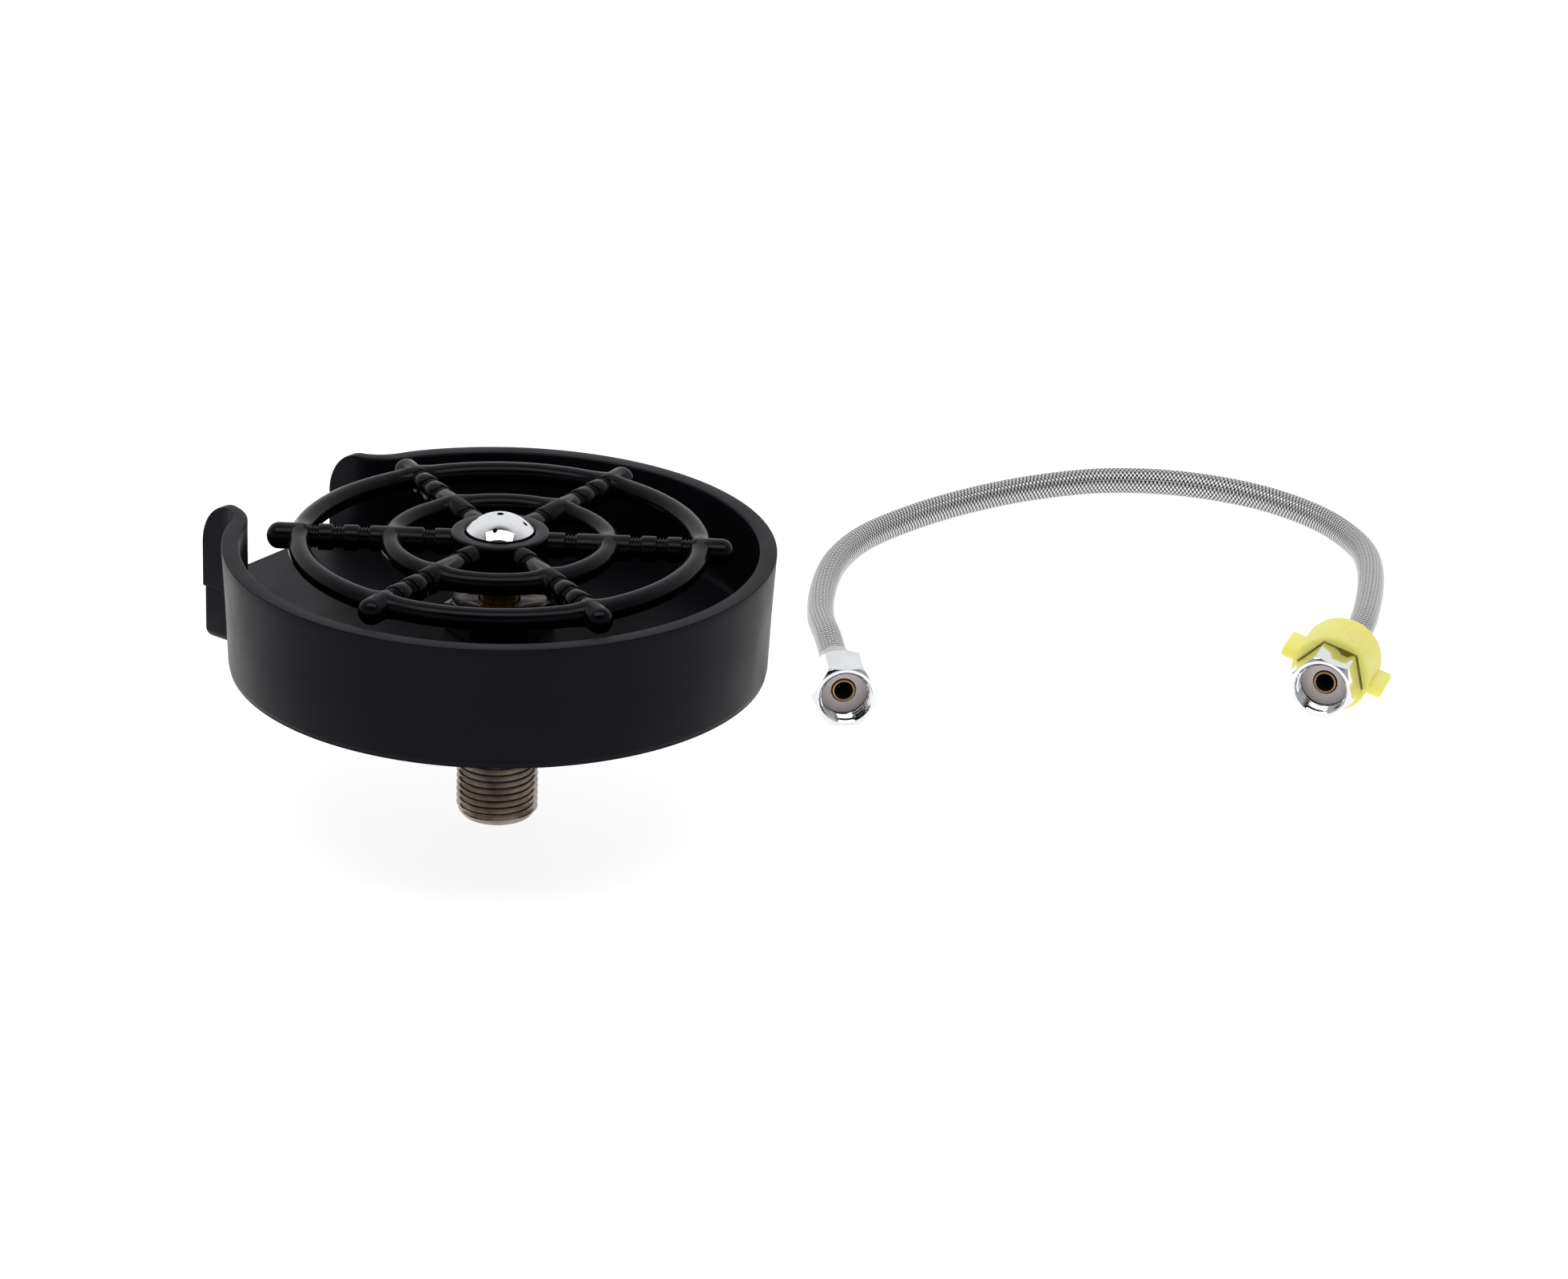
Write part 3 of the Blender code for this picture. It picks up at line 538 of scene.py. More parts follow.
def round_corners(item, low_width, upright_width):
    """Rounds a block's bottom edges by one width and its upright edges by another."""
    shape = bmesh.new()
    shape.from_mesh(item.data)
    layer = shape.edges.layers.float.new("bevel_weight_edge")
    bottom = min(v.co.z for v in shape.verts)
    low = [e for e in shape.edges if all(v.co.z < bottom + 1e-6 for v in e.verts)]
    upright = [e for e in shape.edges if abs(e.verts[0].co.z - e.verts[1].co.z) > 1e-6]
    widest = max(low_width, upright_width)
    for edges, width in ((low, low_width), (upright, upright_width)):
        for edge in edges:
            edge[layer] = width / widest
    shape.to_mesh(item.data)
    shape.free()
    bevel = item.modifiers.new("edges", "BEVEL")
    bevel.width = widest * MM
    bevel.segments = 6
    bevel.limit_method = "WEIGHT"
    settle(item, 40)


def set_piece(item, body, finish, *nodes):
    """Hangs the piece under its body's empty and hides the frame's nodes that it replaces."""
    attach(item, body)
    if nodes:
        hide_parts(*nodes)
    return item


def cut_piece(item, place, body, finish, node):
    """Ends a piece made by Boolean steps: moves it to its place, all in one material."""
    item.data.transform(place)
    item.data.materials.clear()
    item.data.materials.append(FINISHES[finish])
    item.data.polygons.foreach_set("material_index", [0] * len(item.data.polygons))
    return set_piece(item, body, finish, node)


# ------------------------ basin

def wall_side(offset):
    """Plan of the wall from the back round +X to the spout's tip, moved out by offset.

    It follows the circle, then a hollow fillet, then the spout's straight side, whose points
    close up towards the rounded tip.
    """
    centre_x = SPOUT_HALF_WIDTH + SPOUT_FILLET
    centre_y = -sqrt((WALL_RADIUS + SPOUT_FILLET) ** 2 - centre_x ** 2)
    branch = atan2(centre_x, -centre_y)
    points = []
    for k in range(WALL_TURNS + 1):
        angle = pi + (branch - pi) * k / WALL_TURNS
        points.append(((WALL_RADIUS + offset) * sin(angle), -(WALL_RADIUS + offset) * cos(angle)))
    hollow = SPOUT_FILLET - offset
    for k in range(17):
        angle = branch + (pi / 2 - branch) * k / 16
        points.append((centre_x - hollow * sin(angle), centre_y + hollow * cos(angle)))
    start = asin((-centre_y - SPOUT_TIP + CORNER_LENGTH) / CORNER_LENGTH)
    for k in range(1, 13):
        angle = start + (pi / 2 - start) * k / 12
        points.append((SPOUT_HALF_WIDTH + offset, -(SPOUT_TIP - CORNER_LENGTH * (1 - sin(angle)))))
    return points


def rim_height(y):
    """The wall's top: level, then rounded down over the spout's tips."""
    past = max(0.0, -y - (SPOUT_TIP - CORNER_LENGTH)) / CORNER_LENGTH
    return RIM_Z - CORNER_HEIGHT * (1 - sqrt(max(0.0, 1 - past * past)))


def quarter(steps):
    """(1 - cos, 1 - sin) at even steps through a quarter turn."""
    angles = [pi / 2 * k / steps for k in range(steps + 1)]
    return [(1 - cos(angle), 1 - sin(angle)) for angle in angles]


def wall_section(bottom, rounding):
    """(offset, z) points from the floor up the inside, over the rim and down to the bottom."""
    foot, inner, outer, lip = 2.5, 0.55, 0.3, RIM_RADIUS - WALL_RADIUS
    section = [(-WALL - foot * s, FLOOR_TOP_Z + foot * c) for c, s in quarter(6)]
    section += [(-WALL, BEND_Z), (-WALL, RIM_Z - 1.4)]
    section += [(-WALL + inner * c, RIM_Z - inner * s) for c, s in quarter(4)]
    section.append((-0.6, RIM_Z))
    section += [(lip - outer * s, RIM_Z - outer * c) for c, s in quarter(4)]
    section += [(lip * (z - DRAFT_END_Z) / (RIM_Z - DRAFT_END_Z), z)
                for z in (71.0, 67.0, 63.0, BEND_Z)]
    section += [(-rounding * c, bottom + rounding * s) for c, s in quarter(4)]
    section += [(-WALL + 0.3, bottom), (-WALL, min(bottom + 0.3, 50.0)), (-WALL, FLOOR_UNDER_Z)]
    return section


def make_wall():
    """One closed body: the section carried round the plan, the floor filled in on both sides."""
    fade_start, fade_length = 58.0, 9.0
    skirted, winged = wall_section(SKIRT_Z, 1.6), wall_section(FLOOR_TOP_Z - 0.8, 0.6)
    width = len(skirted)
    sides = [wall_side(offset) for offset, _ in skirted]
    wing_sides = [wall_side(offset) for offset, _ in winged]
    plain = wall_side(0.0)
    loops = []
    for k, (plain_x, plain_y) in enumerate(plain):
        on_circle = k <= WALL_TURNS
        loop = []
        for j, (offset, z) in enumerate(skirted if on_circle else winged):
            x, y = (sides if on_circle else wing_sides)[j][k]
            if offset > 0:
                fade = min(1.0, max(0.0, (-plain_y - fade_start) / fade_length))
                x, y = x + (plain_x - x) * fade, y + (plain_y - y) * fade
            if z > BEND_Z:
                z = BEND_Z + (z - BEND_Z) * (rim_height(y) - BEND_Z) / (RIM_Z - BEND_Z)
            loop.append((x, y, z))
        loops.append(loop)
    loops = [[(-x, y, z) for x, y, z in loop] for loop in reversed(loops[1:])] + loops
    points = [point for loop in loops for point in loop]
    faces = []
    for k in range(len(loops) - 1):
        first, last = k * width, (k + 1) * width
        faces += [(first + j, first + j + 1, last + j + 1, last + j) for j in range(width - 1)]
    last = (len(loops) - 1) * width
    faces.append(tuple(k * width for k in range(len(loops))))
    faces.append(tuple(k * width + width - 1 for k in range(len(loops))))
    faces.append(tuple(range(width)) + tuple(range(last + width - 1, last - 1, -1)))
    wall = make_object("basin_shell", points, faces, "basin")
    reshape(wall.data, lambda shape: bmesh.ops.remove_doubles(
        shape, verts=shape.verts, dist=1e-7))
    return wall


def tongue_outline(offset, z, tip, back=-52.0):
    """The tongue's plan at one height: straight sides from inside the wall out to the tip."""
    side = SPOUT_HALF_WIDTH + offset
    return [(side, back, z), (side, -tip, z), (-side, -tip, z), (-side, back, z)]


def make_basin():
    """Wall, floor, skirt and the tongue under the spout, as one moulding."""
    basin = make_wall()
    soften(basin, 0.5, 3, 65)
    joint_z = FLOOR_TOP_Z - 0.4
    skirt = turned("skirt", ring_section(
        WALL_RADIUS - WALL + 0.2, WALL_RADIUS - 0.3, SKIRT_Z + 0.1, joint_z),
        "basin", segments=192, round_off=0)
    join_shape(basin, skirt, "UNION")
    tongue = stacked("tongue", [tongue_outline(-0.2, z, TONGUE_TIP)
                                for z in (TONGUE_Z, joint_z)], "basin")
    throat = stacked("throat", [tongue_outline(-4.0, z, TONGUE_TIP - WALL, -50.0)
                                for z in (TONGUE_Z - 4, FLOOR_UNDER_Z - 0.5)], "basin")
    round_corners(tongue, 2.5, 0.6)
    join_shape(tongue, throat)
    outside = turned("outside", ring_section(WALL_RADIUS - 2.0, 120, TONGUE_Z - 5, 60),
                     "basin", segments=96, round_off=0)
    join_shape(tongue, outside, "INTERSECT")
    join_shape(basin, tongue, "UNION")
    bore = solid("shank_hole", ring_section(0, SHANK_RADIUS + 0.3, SKIRT_Z, FLOOR_TOP_Z + 5),
                 "basin")
    join_shape(basin, bore)
    return cut_piece(basin, RINSER, "root", "basin", "basin")


# ------------------------ shank and valve

def thread_ridge(phase):
    """Height of a 55 degree thread's rounded form, 0 at the root and 1 at the crest."""
    rise = 1 - abs(2 * phase - 1)
    return min(1.0, max(0.0, (rise - 0.12) / 0.76))


def helix_rows(low, high, pitch, radius, depth, fade, segments, rows):
    """Rings of points that climb with the thread, so that every ridge is smooth along its turn.

    Row j meets row j + rows after one turn. The first and last rings are flat.
    """
    turns = int((high - low) / pitch) + 2
    rings = []
    for j in range(turns * rows + 1):
        ring = []
        for k in range(segments + 1):
            z = low - pitch + (j / rows + k / segments) * pitch
            z = min(high, max(low, z))
            near = min(1.0, (z - low) / fade, (high - z) / fade)
            r = radius + depth * max(0.0, near) * thread_ridge(j / rows % 1.0)
            angle = 2 * pi * k / segments
            ring.append((r * cos(angle), r * sin(angle), z))
        rings.append(ring)
    return rings


def threaded(name, below, above, thread, finish, place=None, closed=True):
    """A turned body with a threaded stretch between two plain (r, z) profiles."""
    segments, rings = thread["segments"], helix_rows(**thread)
    points, faces = [], []

    def ring_of(spots):
        points.extend(spots)
        return list(range(len(points) - len(spots), len(points)))

    def plain(radius, z):
        return ring_of([(radius * cos(2 * pi * k / segments), radius * sin(2 * pi * k / segments), z)
                        for k in range(segments + 1)])

    rows = [plain(r, z) for r, z in below]
    rows += [ring_of(ring) for ring in rings]
    rows += [plain(r, z) for r, z in above]
    if closed:
        rows.append(rows[0])
    for first, last in zip(rows, rows[1:]):
        faces += [(first[k], first[k + 1], last[k + 1], last[k]) for k in range(segments)]
    item = make_object(name, points, faces, finish)

    def clean(shape):
        """Closes the seam and drops the pairs of faces that the flat rows leave."""
        bmesh.ops.remove_doubles(shape, verts=shape.verts, dist=2e-7)
        bmesh.ops.dissolve_degenerate(shape, edges=shape.edges, dist=2e-7)
        flat = {}
        for face in shape.faces:
            flat.setdefault(frozenset(v.index for v in face.verts), []).append(face)
        bmesh.ops.delete(shape, geom=[f for same in flat.values() if len(same) > 1 for f in same],
                         context="FACES_ONLY")

    reshape(item.data, clean)
    item.data.shade_smooth()
    item.data.set_sharp_from_angle(angle=radians(50))
    if place is not None:
        item.data.transform(place)
    return item


def make_shank():
    """The shank with a real helical thread that runs out at both ends."""
    root = SHANK_RADIUS - THREAD_DEPTH
    inlet_end, floor_hole_z = 27.0, 47.0
    below = [(SHANK_BORE, inlet_end), (SHANK_INLET, inlet_end), (SHANK_INLET, 0.4), (7.9, 0),
             (root - 0.4, 0), (root, 0.4)]
    above = [
        (root, FLANGE_LOW_Z), (FLANGE_RADIUS - 0.5, FLANGE_LOW_Z),
        (FLANGE_RADIUS, FLANGE_LOW_Z + 0.5), (FLANGE_RADIUS, FLANGE_HIGH_Z - 0.5),
        (FLANGE_RADIUS - 0.5, FLANGE_HIGH_Z), (SHANK_RADIUS, FLANGE_HIGH_Z), (SHANK_RADIUS, 56.4),
        (SHANK_RADIUS - 0.6, SHANK_TOP_Z), (SHANK_SEAT, SHANK_TOP_Z), (SHANK_SEAT, floor_hole_z),
        (SHANK_BORE, floor_hole_z)]
    thread = dict(low=0.5, high=41.6, pitch=THREAD_PITCH, radius=root, depth=THREAD_DEPTH, fade=1.4,
                  segments=96, rows=10)
    shank = threaded("shank_body", below, above, thread, "shank", RINSER)
    return set_piece(shank, "root", "shank", "threaded_shank")


def hexagon(flats, z, turn=0.0):
    """A hexagon's outline at one height, turned by degrees."""
    corner = flats / sqrt(3)
    return [(corner * cos(radians(60 * k + turn)), corner * sin(radians(60 * k + turn)), z)
            for k in range(6)]


def make_valve_nut():
    """The hexagonal head on the basin's floor, its corners turned off above and below."""
    corner, top = VALVE_FLATS / sqrt(3), VALVE_TOP_Z + 0.001
    # The valve's darkened nickel is painted shade for the dim floor under the star.
    nut = stacked("valve_head", [hexagon(VALVE_FLATS, z, VALVE_TURN)
                                 for z in (VALVE_LOW_Z, VALVE_TOP_Z)], "valve")
    cone = solid("cone", [
        (0, 49), (corner - 0.9, 50.6), (corner + 0.6, 52.6), (corner + 0.6, 57.4),
        (corner - 2.0, top), (0, top)], "valve", 128)
    join_shape(nut, cone, "INTERSECT")
    step_z, top_hole = 57.3, 5.4
    hole = solid("hole", [
        (0, 50), (SHANK_RADIUS + 0.3, 50), (SHANK_RADIUS + 0.3, step_z), (top_hole, step_z),
        (top_hole, 61), (0, 61)], "valve")
    join_shape(nut, hole)
    soften(nut, 0.25, 3, 25)
    return cut_piece(nut, RINSER, "root", "valve", "valve_nut")


def round_section(centre, z, radius, steps=16):
    """The (r, z) profile of an O-ring."""
    return [(centre + radius * cos(2 * pi * k / steps), z + radius * sin(2 * pi * k / steps))
            for k in range(steps)]


def make_inner_pieces():
    """Seals, bush, plunger and gasket, turned finer than their CAD solids."""
    stem = [(0, 22.2), (6.8, 22.2), (6.8, 24.5), (5.0, 24.5), (5.0, 76.0), (2.6, 76.0),
            (2.6, 28.0), (0, 28.0)]
    bush = [(5.3, 47.3), (7.7, 47.3), (7.7, 56.7), (5.3, 56.7), (5.3, 53.1), (7.2, 53.1),
            (7.2, 50.9), (5.3, 50.9)]
    for name, profile, finish, segments, round_off, body, node in (
            ("plunger_stem", stem, "brass", 64, 0.3, "plunger", "plunger"),
            ("poppet_washer", ring_section(5.3, 7.0, 24.8, 26.7), "black_rubber", 64, 0.3,
             "plunger", "poppet_seal"),
            ("deck_gasket", ring_section(60.2, 65.2, 42.0, 46.5), "black_rubber", 128, 0.6,
             "root", "foot_gasket"),
            ("flange_seal", ring_section(10.9, 16.6, 46.5, 47.7), "black_rubber", 96, 0.3,
             "root", "shank_seal"),
            ("stem_bush", bush, "guide", 64, 0.2, "root", "guide_bush"),
            ("stem_o_ring", round_section(6.2, 52.0, 0.74), "black_rubber", 72, 0,
             "root", "guide_o_ring"),
            ("dome_o_ring", round_section(DOME_RADIUS - 1.0, 75.5, 0.58), "black_rubber", 72, 0,
             "star", "dome_seal")):
        piece = turned(name, profile, finish, RINSER, segments, closed=profile[0][0] > 0,
                       round_off=round_off)
        set_piece(piece, body, finish, node)
    for node in ("inlet_strainer", "strainer_clip"):
        frame["nodes"][node].data.materials.clear()
        frame["nodes"][node].data.materials.append(FINISHES["steel"])


def make_spring():
    """Six coils of round wire with its ends closed down flat."""
    low, high, turns, radius, wire, sides = 5.2, 21.4, 6, 5.6, 0.5, 12
    steps = turns * 36
    path = []
    for k in range(steps + 1):
        t = k / steps
        lead = min(1.0, max(0.0, (t * turns - 0.6) / (turns - 1.2)))
        path.append(Vector((radius * cos(2 * pi * turns * t), radius * sin(2 * pi * turns * t),
                            low + (high - low) * lead)))
    points, faces = [], []
    for k, spot in enumerate(path):
        ahead = path[min(k + 1, steps)] - path[max(k - 1, 0)]
        out = Vector((spot.x, spot.y, 0)).normalized()
        side = ahead.normalized().cross(out).normalized()
        for j in range(sides):
            angle = 2 * pi * j / sides
            points.append(spot + (out * cos(angle) + side * sin(angle)) * wire)
        if k:
            first, last = (k - 1) * sides, k * sides
            faces += band(range(first, first + sides), range(last, last + sides))
    faces.append(tuple(range(sides)))
    faces.append(tuple(range(len(points) - sides, len(points))))
    spring = make_object("valve_spring", points, faces, "steel", RINSER)
    set_piece(spring, "root", "steel", "return_spring")
    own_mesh(spring)


# ------------------------ star grate

def spoke_profile():
    """(radius, distance) along one spoke: its grooves hold two fine ribs each."""
    profile = [(0, HUB_RADIUS - 4), (SPOKE_RADIUS, HUB_RADIUS - 4)]
    for centre in (17.8, 34.2, 40.8, 47.2):
        profile += [(SPOKE_RADIUS, centre - 1.7), (SPOKE_RADIUS - 0.18, centre - 1.35)]
        for rib in (-0.85, 0.0, 0.85):
            profile += [(SPOKE_RADIUS - 0.85, centre + rib - 0.26),
                        (SPOKE_RADIUS - 0.85, centre + rib + 0.02),
                        (SPOKE_RADIUS - 0.5, centre + rib + 0.22),
                        (SPOKE_RADIUS - 0.5, centre + rib + 0.42)]
        profile += [(SPOKE_RADIUS - 0.18, centre + 1.45), (SPOKE_RADIUS, centre + 1.8)]
    start = STAR_TIP - SPOKE_RADIUS * 0.9
    profile.append((SPOKE_RADIUS, start))
    for k in range(1, 9):
        angle = pi / 2 * k / 9
        profile.append((SPOKE_RADIUS * cos(angle), start + SPOKE_RADIUS * 0.9 * sin(angle)))
    profile.append((0, STAR_TIP))
    return profile


def star_ring(name, radius, segments=288, sides=24):
    """A ring whose rod swells a little where it meets the spokes."""
    points, faces = [], []
    for k in range(segments):
        angle = 2 * pi * k / segments
        away = (angle + pi / 6) % (pi / 3) - pi / 6
        tube = RING_TUBE + 0.55 * exp(-(away * radius / 3.2) ** 2)
        for j in range(sides):
            turn = 2 * pi * j / sides
            reach = radius + tube * cos(turn)
            points.append((reach * cos(angle), reach * sin(angle), STAR_Z + tube * sin(turn)))
    for k in range(segments):
        first, last = k * sides, (k + 1) % segments * sides
        faces += band(range(first, first + sides), range(last, last + sides))
    return make_object(name, points, faces, "star")


def make_star():
    """Hub, two rings and six spokes in one moulding, with a seat for the dome."""
    star = turned("star_body", [
        (STAR_BORE, HUB_Z), (HUB_RADIUS - 0.2, HUB_Z), (HUB_RADIUS, HUB_Z + 1.0),
        (HUB_RADIUS, HUB_TOP_Z), (DOME_RADIUS + 0.4, HUB_TOP_Z), (DOME_RADIUS + 0.4, SEAT_Z),
        (STAR_BORE, SEAT_Z)], "star", segments=120, round_off=0.8)
    join_shape(star, star_ring("outer_ring", OUTER_RING), "UNION")
    join_shape(star, star_ring("inner_ring", INNER_RING), "UNION")
    for k in range(6):
        place = (Matrix.Rotation(radians(60 * k), 4, "Z") @ Matrix.Translation((0, 0, STAR_Z * MM))
                 @ Matrix.Rotation(pi / 2, 4, "Y"))
        join_shape(star, solid("spoke", spoke_profile(), "star", 40, place), "UNION")
    join_shape(star, solid("seat", ring_section(0, DOME_RADIUS + 0.4, SEAT_Z, HUB_TOP_Z + 3),
                           "star"))
    cut_piece(star, STAR, "star", "star", "star_grate")
    make_dome()


def make_dome():
    """The chrome cap: a shallow dome on a short skirt, hollow, with five drilled jets."""
    base = HUB_TOP_Z + 0.3
    rise = DOME_TOP_Z - base
    sphere = (DOME_RADIUS ** 2 + rise ** 2) / (2 * rise)
    centre = DOME_TOP_Z - sphere

    def cap(radius, edge, steps):
        start = asin(edge / radius)
        return [(radius * sin(start * (1 - k / steps)), centre + radius * cos(start * (1 - k / steps)))
                for k in range(steps)] + [(0, centre + radius)]

    outer = [(DOME_RADIUS - 0.3, 76.4), (DOME_RADIUS, 76.7)] + cap(sphere, DOME_RADIUS, 20)
    inner = cap(sphere - 1.0, DOME_RADIUS - 1.0, 14)
    dome = solid("spray_cap", [*reversed(inner), (DOME_RADIUS - 1.0, 76.4), *outer], "chrome", 120)
    jets = [(0.0, 0.0, CENTRE_JET)]
    for k in range(4):
        angle = radians(JET_TURN + 90 * k)
        jets.append((JET_CIRCLE * cos(angle), JET_CIRCLE * sin(angle), OUTER_JET))
    for x, y, radius in jets:
        join_shape(dome, solid("jet", ring_section(0, radius, 76, 85), "chrome", 24,
                               Matrix.Translation((x * MM, y * MM, 0))))
    cut_piece(dome, STAR, "star", "chrome", "spray_dome")


# ------------------------ hose ends

def end_place(joint, turn=0.0):
    """Local +Z runs from the nut's mouth to the hose, and local +Y is up before the turn."""
    away = Vector(joint["axis"]).normalized()
    up = Vector((0, 0, 1))
    frame3 = Matrix((up.cross(away), up, away)).transposed()
    return (Matrix.Translation(joint["pos_m"]) @ frame3.to_4x4()
            @ Matrix.Rotation(radians(turn), 4, "Z"))


def make_union_nut(side, place):
    """Hexagon with turned ends, cut by a bore with a helical thread."""
    corner = NUT_FLATS / sqrt(3)
    nut = stacked(f"{side}_union_nut", [hexagon(NUT_FLATS, z) for z in (0, NUT_LENGTH)], "chrome")
    form = solid("form", rounded([
        (0, -0.001), (corner - 1.25, -0.001), (corner - 0.5, 0.5), (corner + 0.35, 2.3),
        (corner + 0.35, NUT_LENGTH - 3.0), (corner - 1.1, NUT_LENGTH - 0.4),
        (corner - 2.4, NUT_LENGTH + 0.001), (0, NUT_LENGTH + 0.001)], 0.8, False), "chrome", 144)
    join_shape(nut, form, "INTERSECT")
    thread = dict(low=0.5, high=WASHER_FRONT - 0.1, pitch=1.5, radius=NUT_BORE, depth=-0.6, fade=0.35,
                  segments=96, rows=10)
    bore = threaded("bore", [(0, -1), (NUT_BORE + 0.4, -1), (NUT_BORE + 0.4, 0.05)], [
        (NUT_BORE, FLANGE_END + 0.3), (TAIL_RADIUS + 0.5, FLANGE_END + 0.3),
        (TAIL_RADIUS + 0.5, NUT_LENGTH + 1), (0, NUT_LENGTH + 1)], thread, "chrome", closed=False)
    join_shape(nut, bore)
    return cut_piece(nut, place, f"{side}_nut", "chrome", f"{side}_nut")


def paint_bore_shade(tail, place):
    """Gives the tail's brass bore faces the black rubber finish: painted shade inside the hole."""
    tail.data.materials.append(FINISHES["black_rubber"])
    back = place.inverted()
    for face in tail.data.polygons:
        spot = back @ face.center
        if hypot(spot.x, spot.y) < (TAIL_BORE + 0.05) * MM:
            face.material_index = 1


def make_hose_end(side, joint, turn):
    """The pieces of one end; returns them in order from the mouth."""
    place = end_place(joint, turn)
    nut = make_union_nut(side, place)
    washer = turned(f"{side}_flat_washer", ring_section(
        TAIL_RADIUS + 0.3, NUT_BORE - 0.3, WASHER_FRONT, WASHER_END), "washer", place, 72)
    set_piece(washer, "root", "washer", f"{side}_washer")
    tail = turned(f"{side}_brass_tail", [
        (TAIL_BORE, WASHER_FRONT - 0.4), (TAIL_RADIUS, WASHER_FRONT - 0.4), (TAIL_RADIUS, FLANGE),
        (NUT_BORE - 0.5, FLANGE), (NUT_BORE - 0.5, FLANGE_END), (TAIL_RADIUS, FLANGE_END),
        (TAIL_RADIUS, TAIL_END), (TAIL_BORE, TAIL_END)], "brass", place, 64)
    # The bore's black is painted shade inside the tail.
    paint_bore_shade(tail, place)
    set_piece(tail, "root", "brass", f"{side}_tail")
    start, end = NUT_LENGTH + 0.3, NUT_LENGTH + FERRULE_LENGTH

    def crimp(angle, radius, z):
        """Six shallow flats that the crimping tool leaves near the nut."""
        if radius < FERRULE_RADIUS - 0.5 or not start + 0.4 < z < start + 6.3:
            return 0.0
        away = (angle + pi / 6) % (pi / 3) - pi / 6
        flat = (FERRULE_RADIUS - 0.32) / cos(away)
        return min(0.0, flat - radius)

    ferrule = turned(f"{side}_crimp_ferrule", [
        (0, TAIL_END + 0.5), (TAIL_RADIUS + 0.3, TAIL_END + 0.5), (TAIL_RADIUS + 0.3, start),
        (FERRULE_RADIUS - 0.4, start), (FERRULE_RADIUS, start + 0.5), (FERRULE_RADIUS, start + 6.2),
        (FERRULE_RADIUS - 0.35, start + 6.6), (FERRULE_RADIUS - 0.35, start + 7.1),
        (FERRULE_RADIUS - 0.08, start + 7.4), (FERRULE_RADIUS - 0.08, end - 0.4),
        (FERRULE_RADIUS - 0.35, end - 0.1), (HOSE_RADIUS + 0.15, end), (0, end)],
        "steel", place, 120, closed=False, offset=crimp)
    set_piece(ferrule, "root", "steel", f"{side}_ferrule")
    return [nut, washer, tail, ferrule]


def make_cover(joint):
    """The ribbed hand cover with its hexagonal mouth and two ears."""
    place = end_place(joint, COVER_TURN)
    end = COVER_FRONT + COVER_LENGTH
    ribs, per_rib, rib_depth = 72, 6, 0.13

    def rib(angle, radius, z):
        """Fine grooves along the side, none near the cover's two ends."""
        if not COVER_FRONT + 1.0 < z < end - 1.6 or radius < COVER_RADIUS - 0.5:
            return 0.0
        return -rib_depth * (0.5 - 0.5 * cos(angle * ribs)) ** 1.5

    profile = rounded([(0, COVER_FRONT), (COVER_RADIUS - 0.1, COVER_FRONT),
                       (COVER_RADIUS, end - 2.0), (COVER_RADIUS - 2.2, end), (0, end)],
                      1.0, False, 5)
    body = []
    for a, b in zip(profile, profile[1:]):
        body.append(a)
        if abs(b[1] - a[1]) > 6:
            body += [(a[0] + (b[0] - a[0]) * t, a[1] + (b[1] - a[1]) * t)
                     for t in (0.04, 0.1, 0.5, 0.9, 0.96)]
    body.append(profile[-1])
    cover = turned("hand_cover", body, "cover", segments=ribs * per_rib, closed=False,
                   round_off=0, offset=rib)
    half, low, high = 1.6, COVER_FRONT + 1.5, COVER_FRONT + 13.5
    ears = stacked("ears", [[(x * EAR_REACH, y * half, z)
                             for x, y in ((-1, -1), (1, -1), (1, 1), (-1, 1))]
                            for z in (low, high)], "cover")
    soften(ears, 0.9, 4, 30)
    join_shape(cover, ears, "UNION")
    socket = stacked("socket", [hexagon(NUT_FLATS + 0.7, z)
                                for z in (COVER_FRONT - 1, NUT_LENGTH + 0.3)], "cover")
    join_shape(cover, socket)
    join_shape(cover, solid("bore", ring_section(
        0, FERRULE_RADIUS + 1.2, COVER_FRONT - 1, end + 1), "cover"))
    return cut_piece(cover, place, "cover", "cover", "wing_cover")


# ------------------------ hose

def smooth_path(points, spacing):
    """Points a spacing apart on a centripetal Catmull-Rom curve through the given ones."""
    knots = [points[0] * 2 - points[1], *points, points[-1] * 2 - points[-2]]
    fine = []
    for a, b, c, d in zip(knots, knots[1:], knots[2:], knots[3:]):
        t0 = 0.0
        t1 = t0 + sqrt((b - a).length)
        t2 = t1 + sqrt((c - b).length)
        t3 = t2 + sqrt((d - c).length)
        for k in range(48):
            t = t1 + (t2 - t1) * k / 48
            ab = a.lerp(b, (t - t0) / (t1 - t0))
            bc = b.lerp(c, (t - t1) / (t2 - t1))
            cd = c.lerp(d, (t - t2) / (t3 - t2))
            fine.append(ab.lerp(bc, (t - t0) / (t2 - t0)).lerp(
                bc.lerp(cd, (t - t1) / (t3 - t1)), (t - t1) / (t2 - t1)))
    fine.append(points[-1])
    spots = np.array([tuple(p) for p in fine])
    walked = np.concatenate([[0], np.cumsum(np.linalg.norm(np.diff(spots, axis=0), axis=1))])
    total = walked[-1]
    count = max(2, round(total / spacing))
    marks = np.linspace(0, total, count + 1)
    return np.stack([np.interp(marks, walked, spots[:, k]) for k in range(3)], 1), total


def hose_points():
    """The route from the left ferrule's end to the right one's, straight where it leaves them."""
    behind = NUT_LENGTH + FERRULE_LENGTH + 0.3

    def along(joint, distance):
        return Vector(joint["pos_m"]) / MM + Vector(joint["axis"]).normalized() * distance

    left, right = JOINTS["left_nut_turn"], JOINTS["right_nut_turn"]
    return ([along(left, behind + extra) for extra in (0, 8, 16)] + [Vector(p) for p in HOSE_ROUTE]
            + [along(right, behind + extra) for extra in (24, 12, 0)])


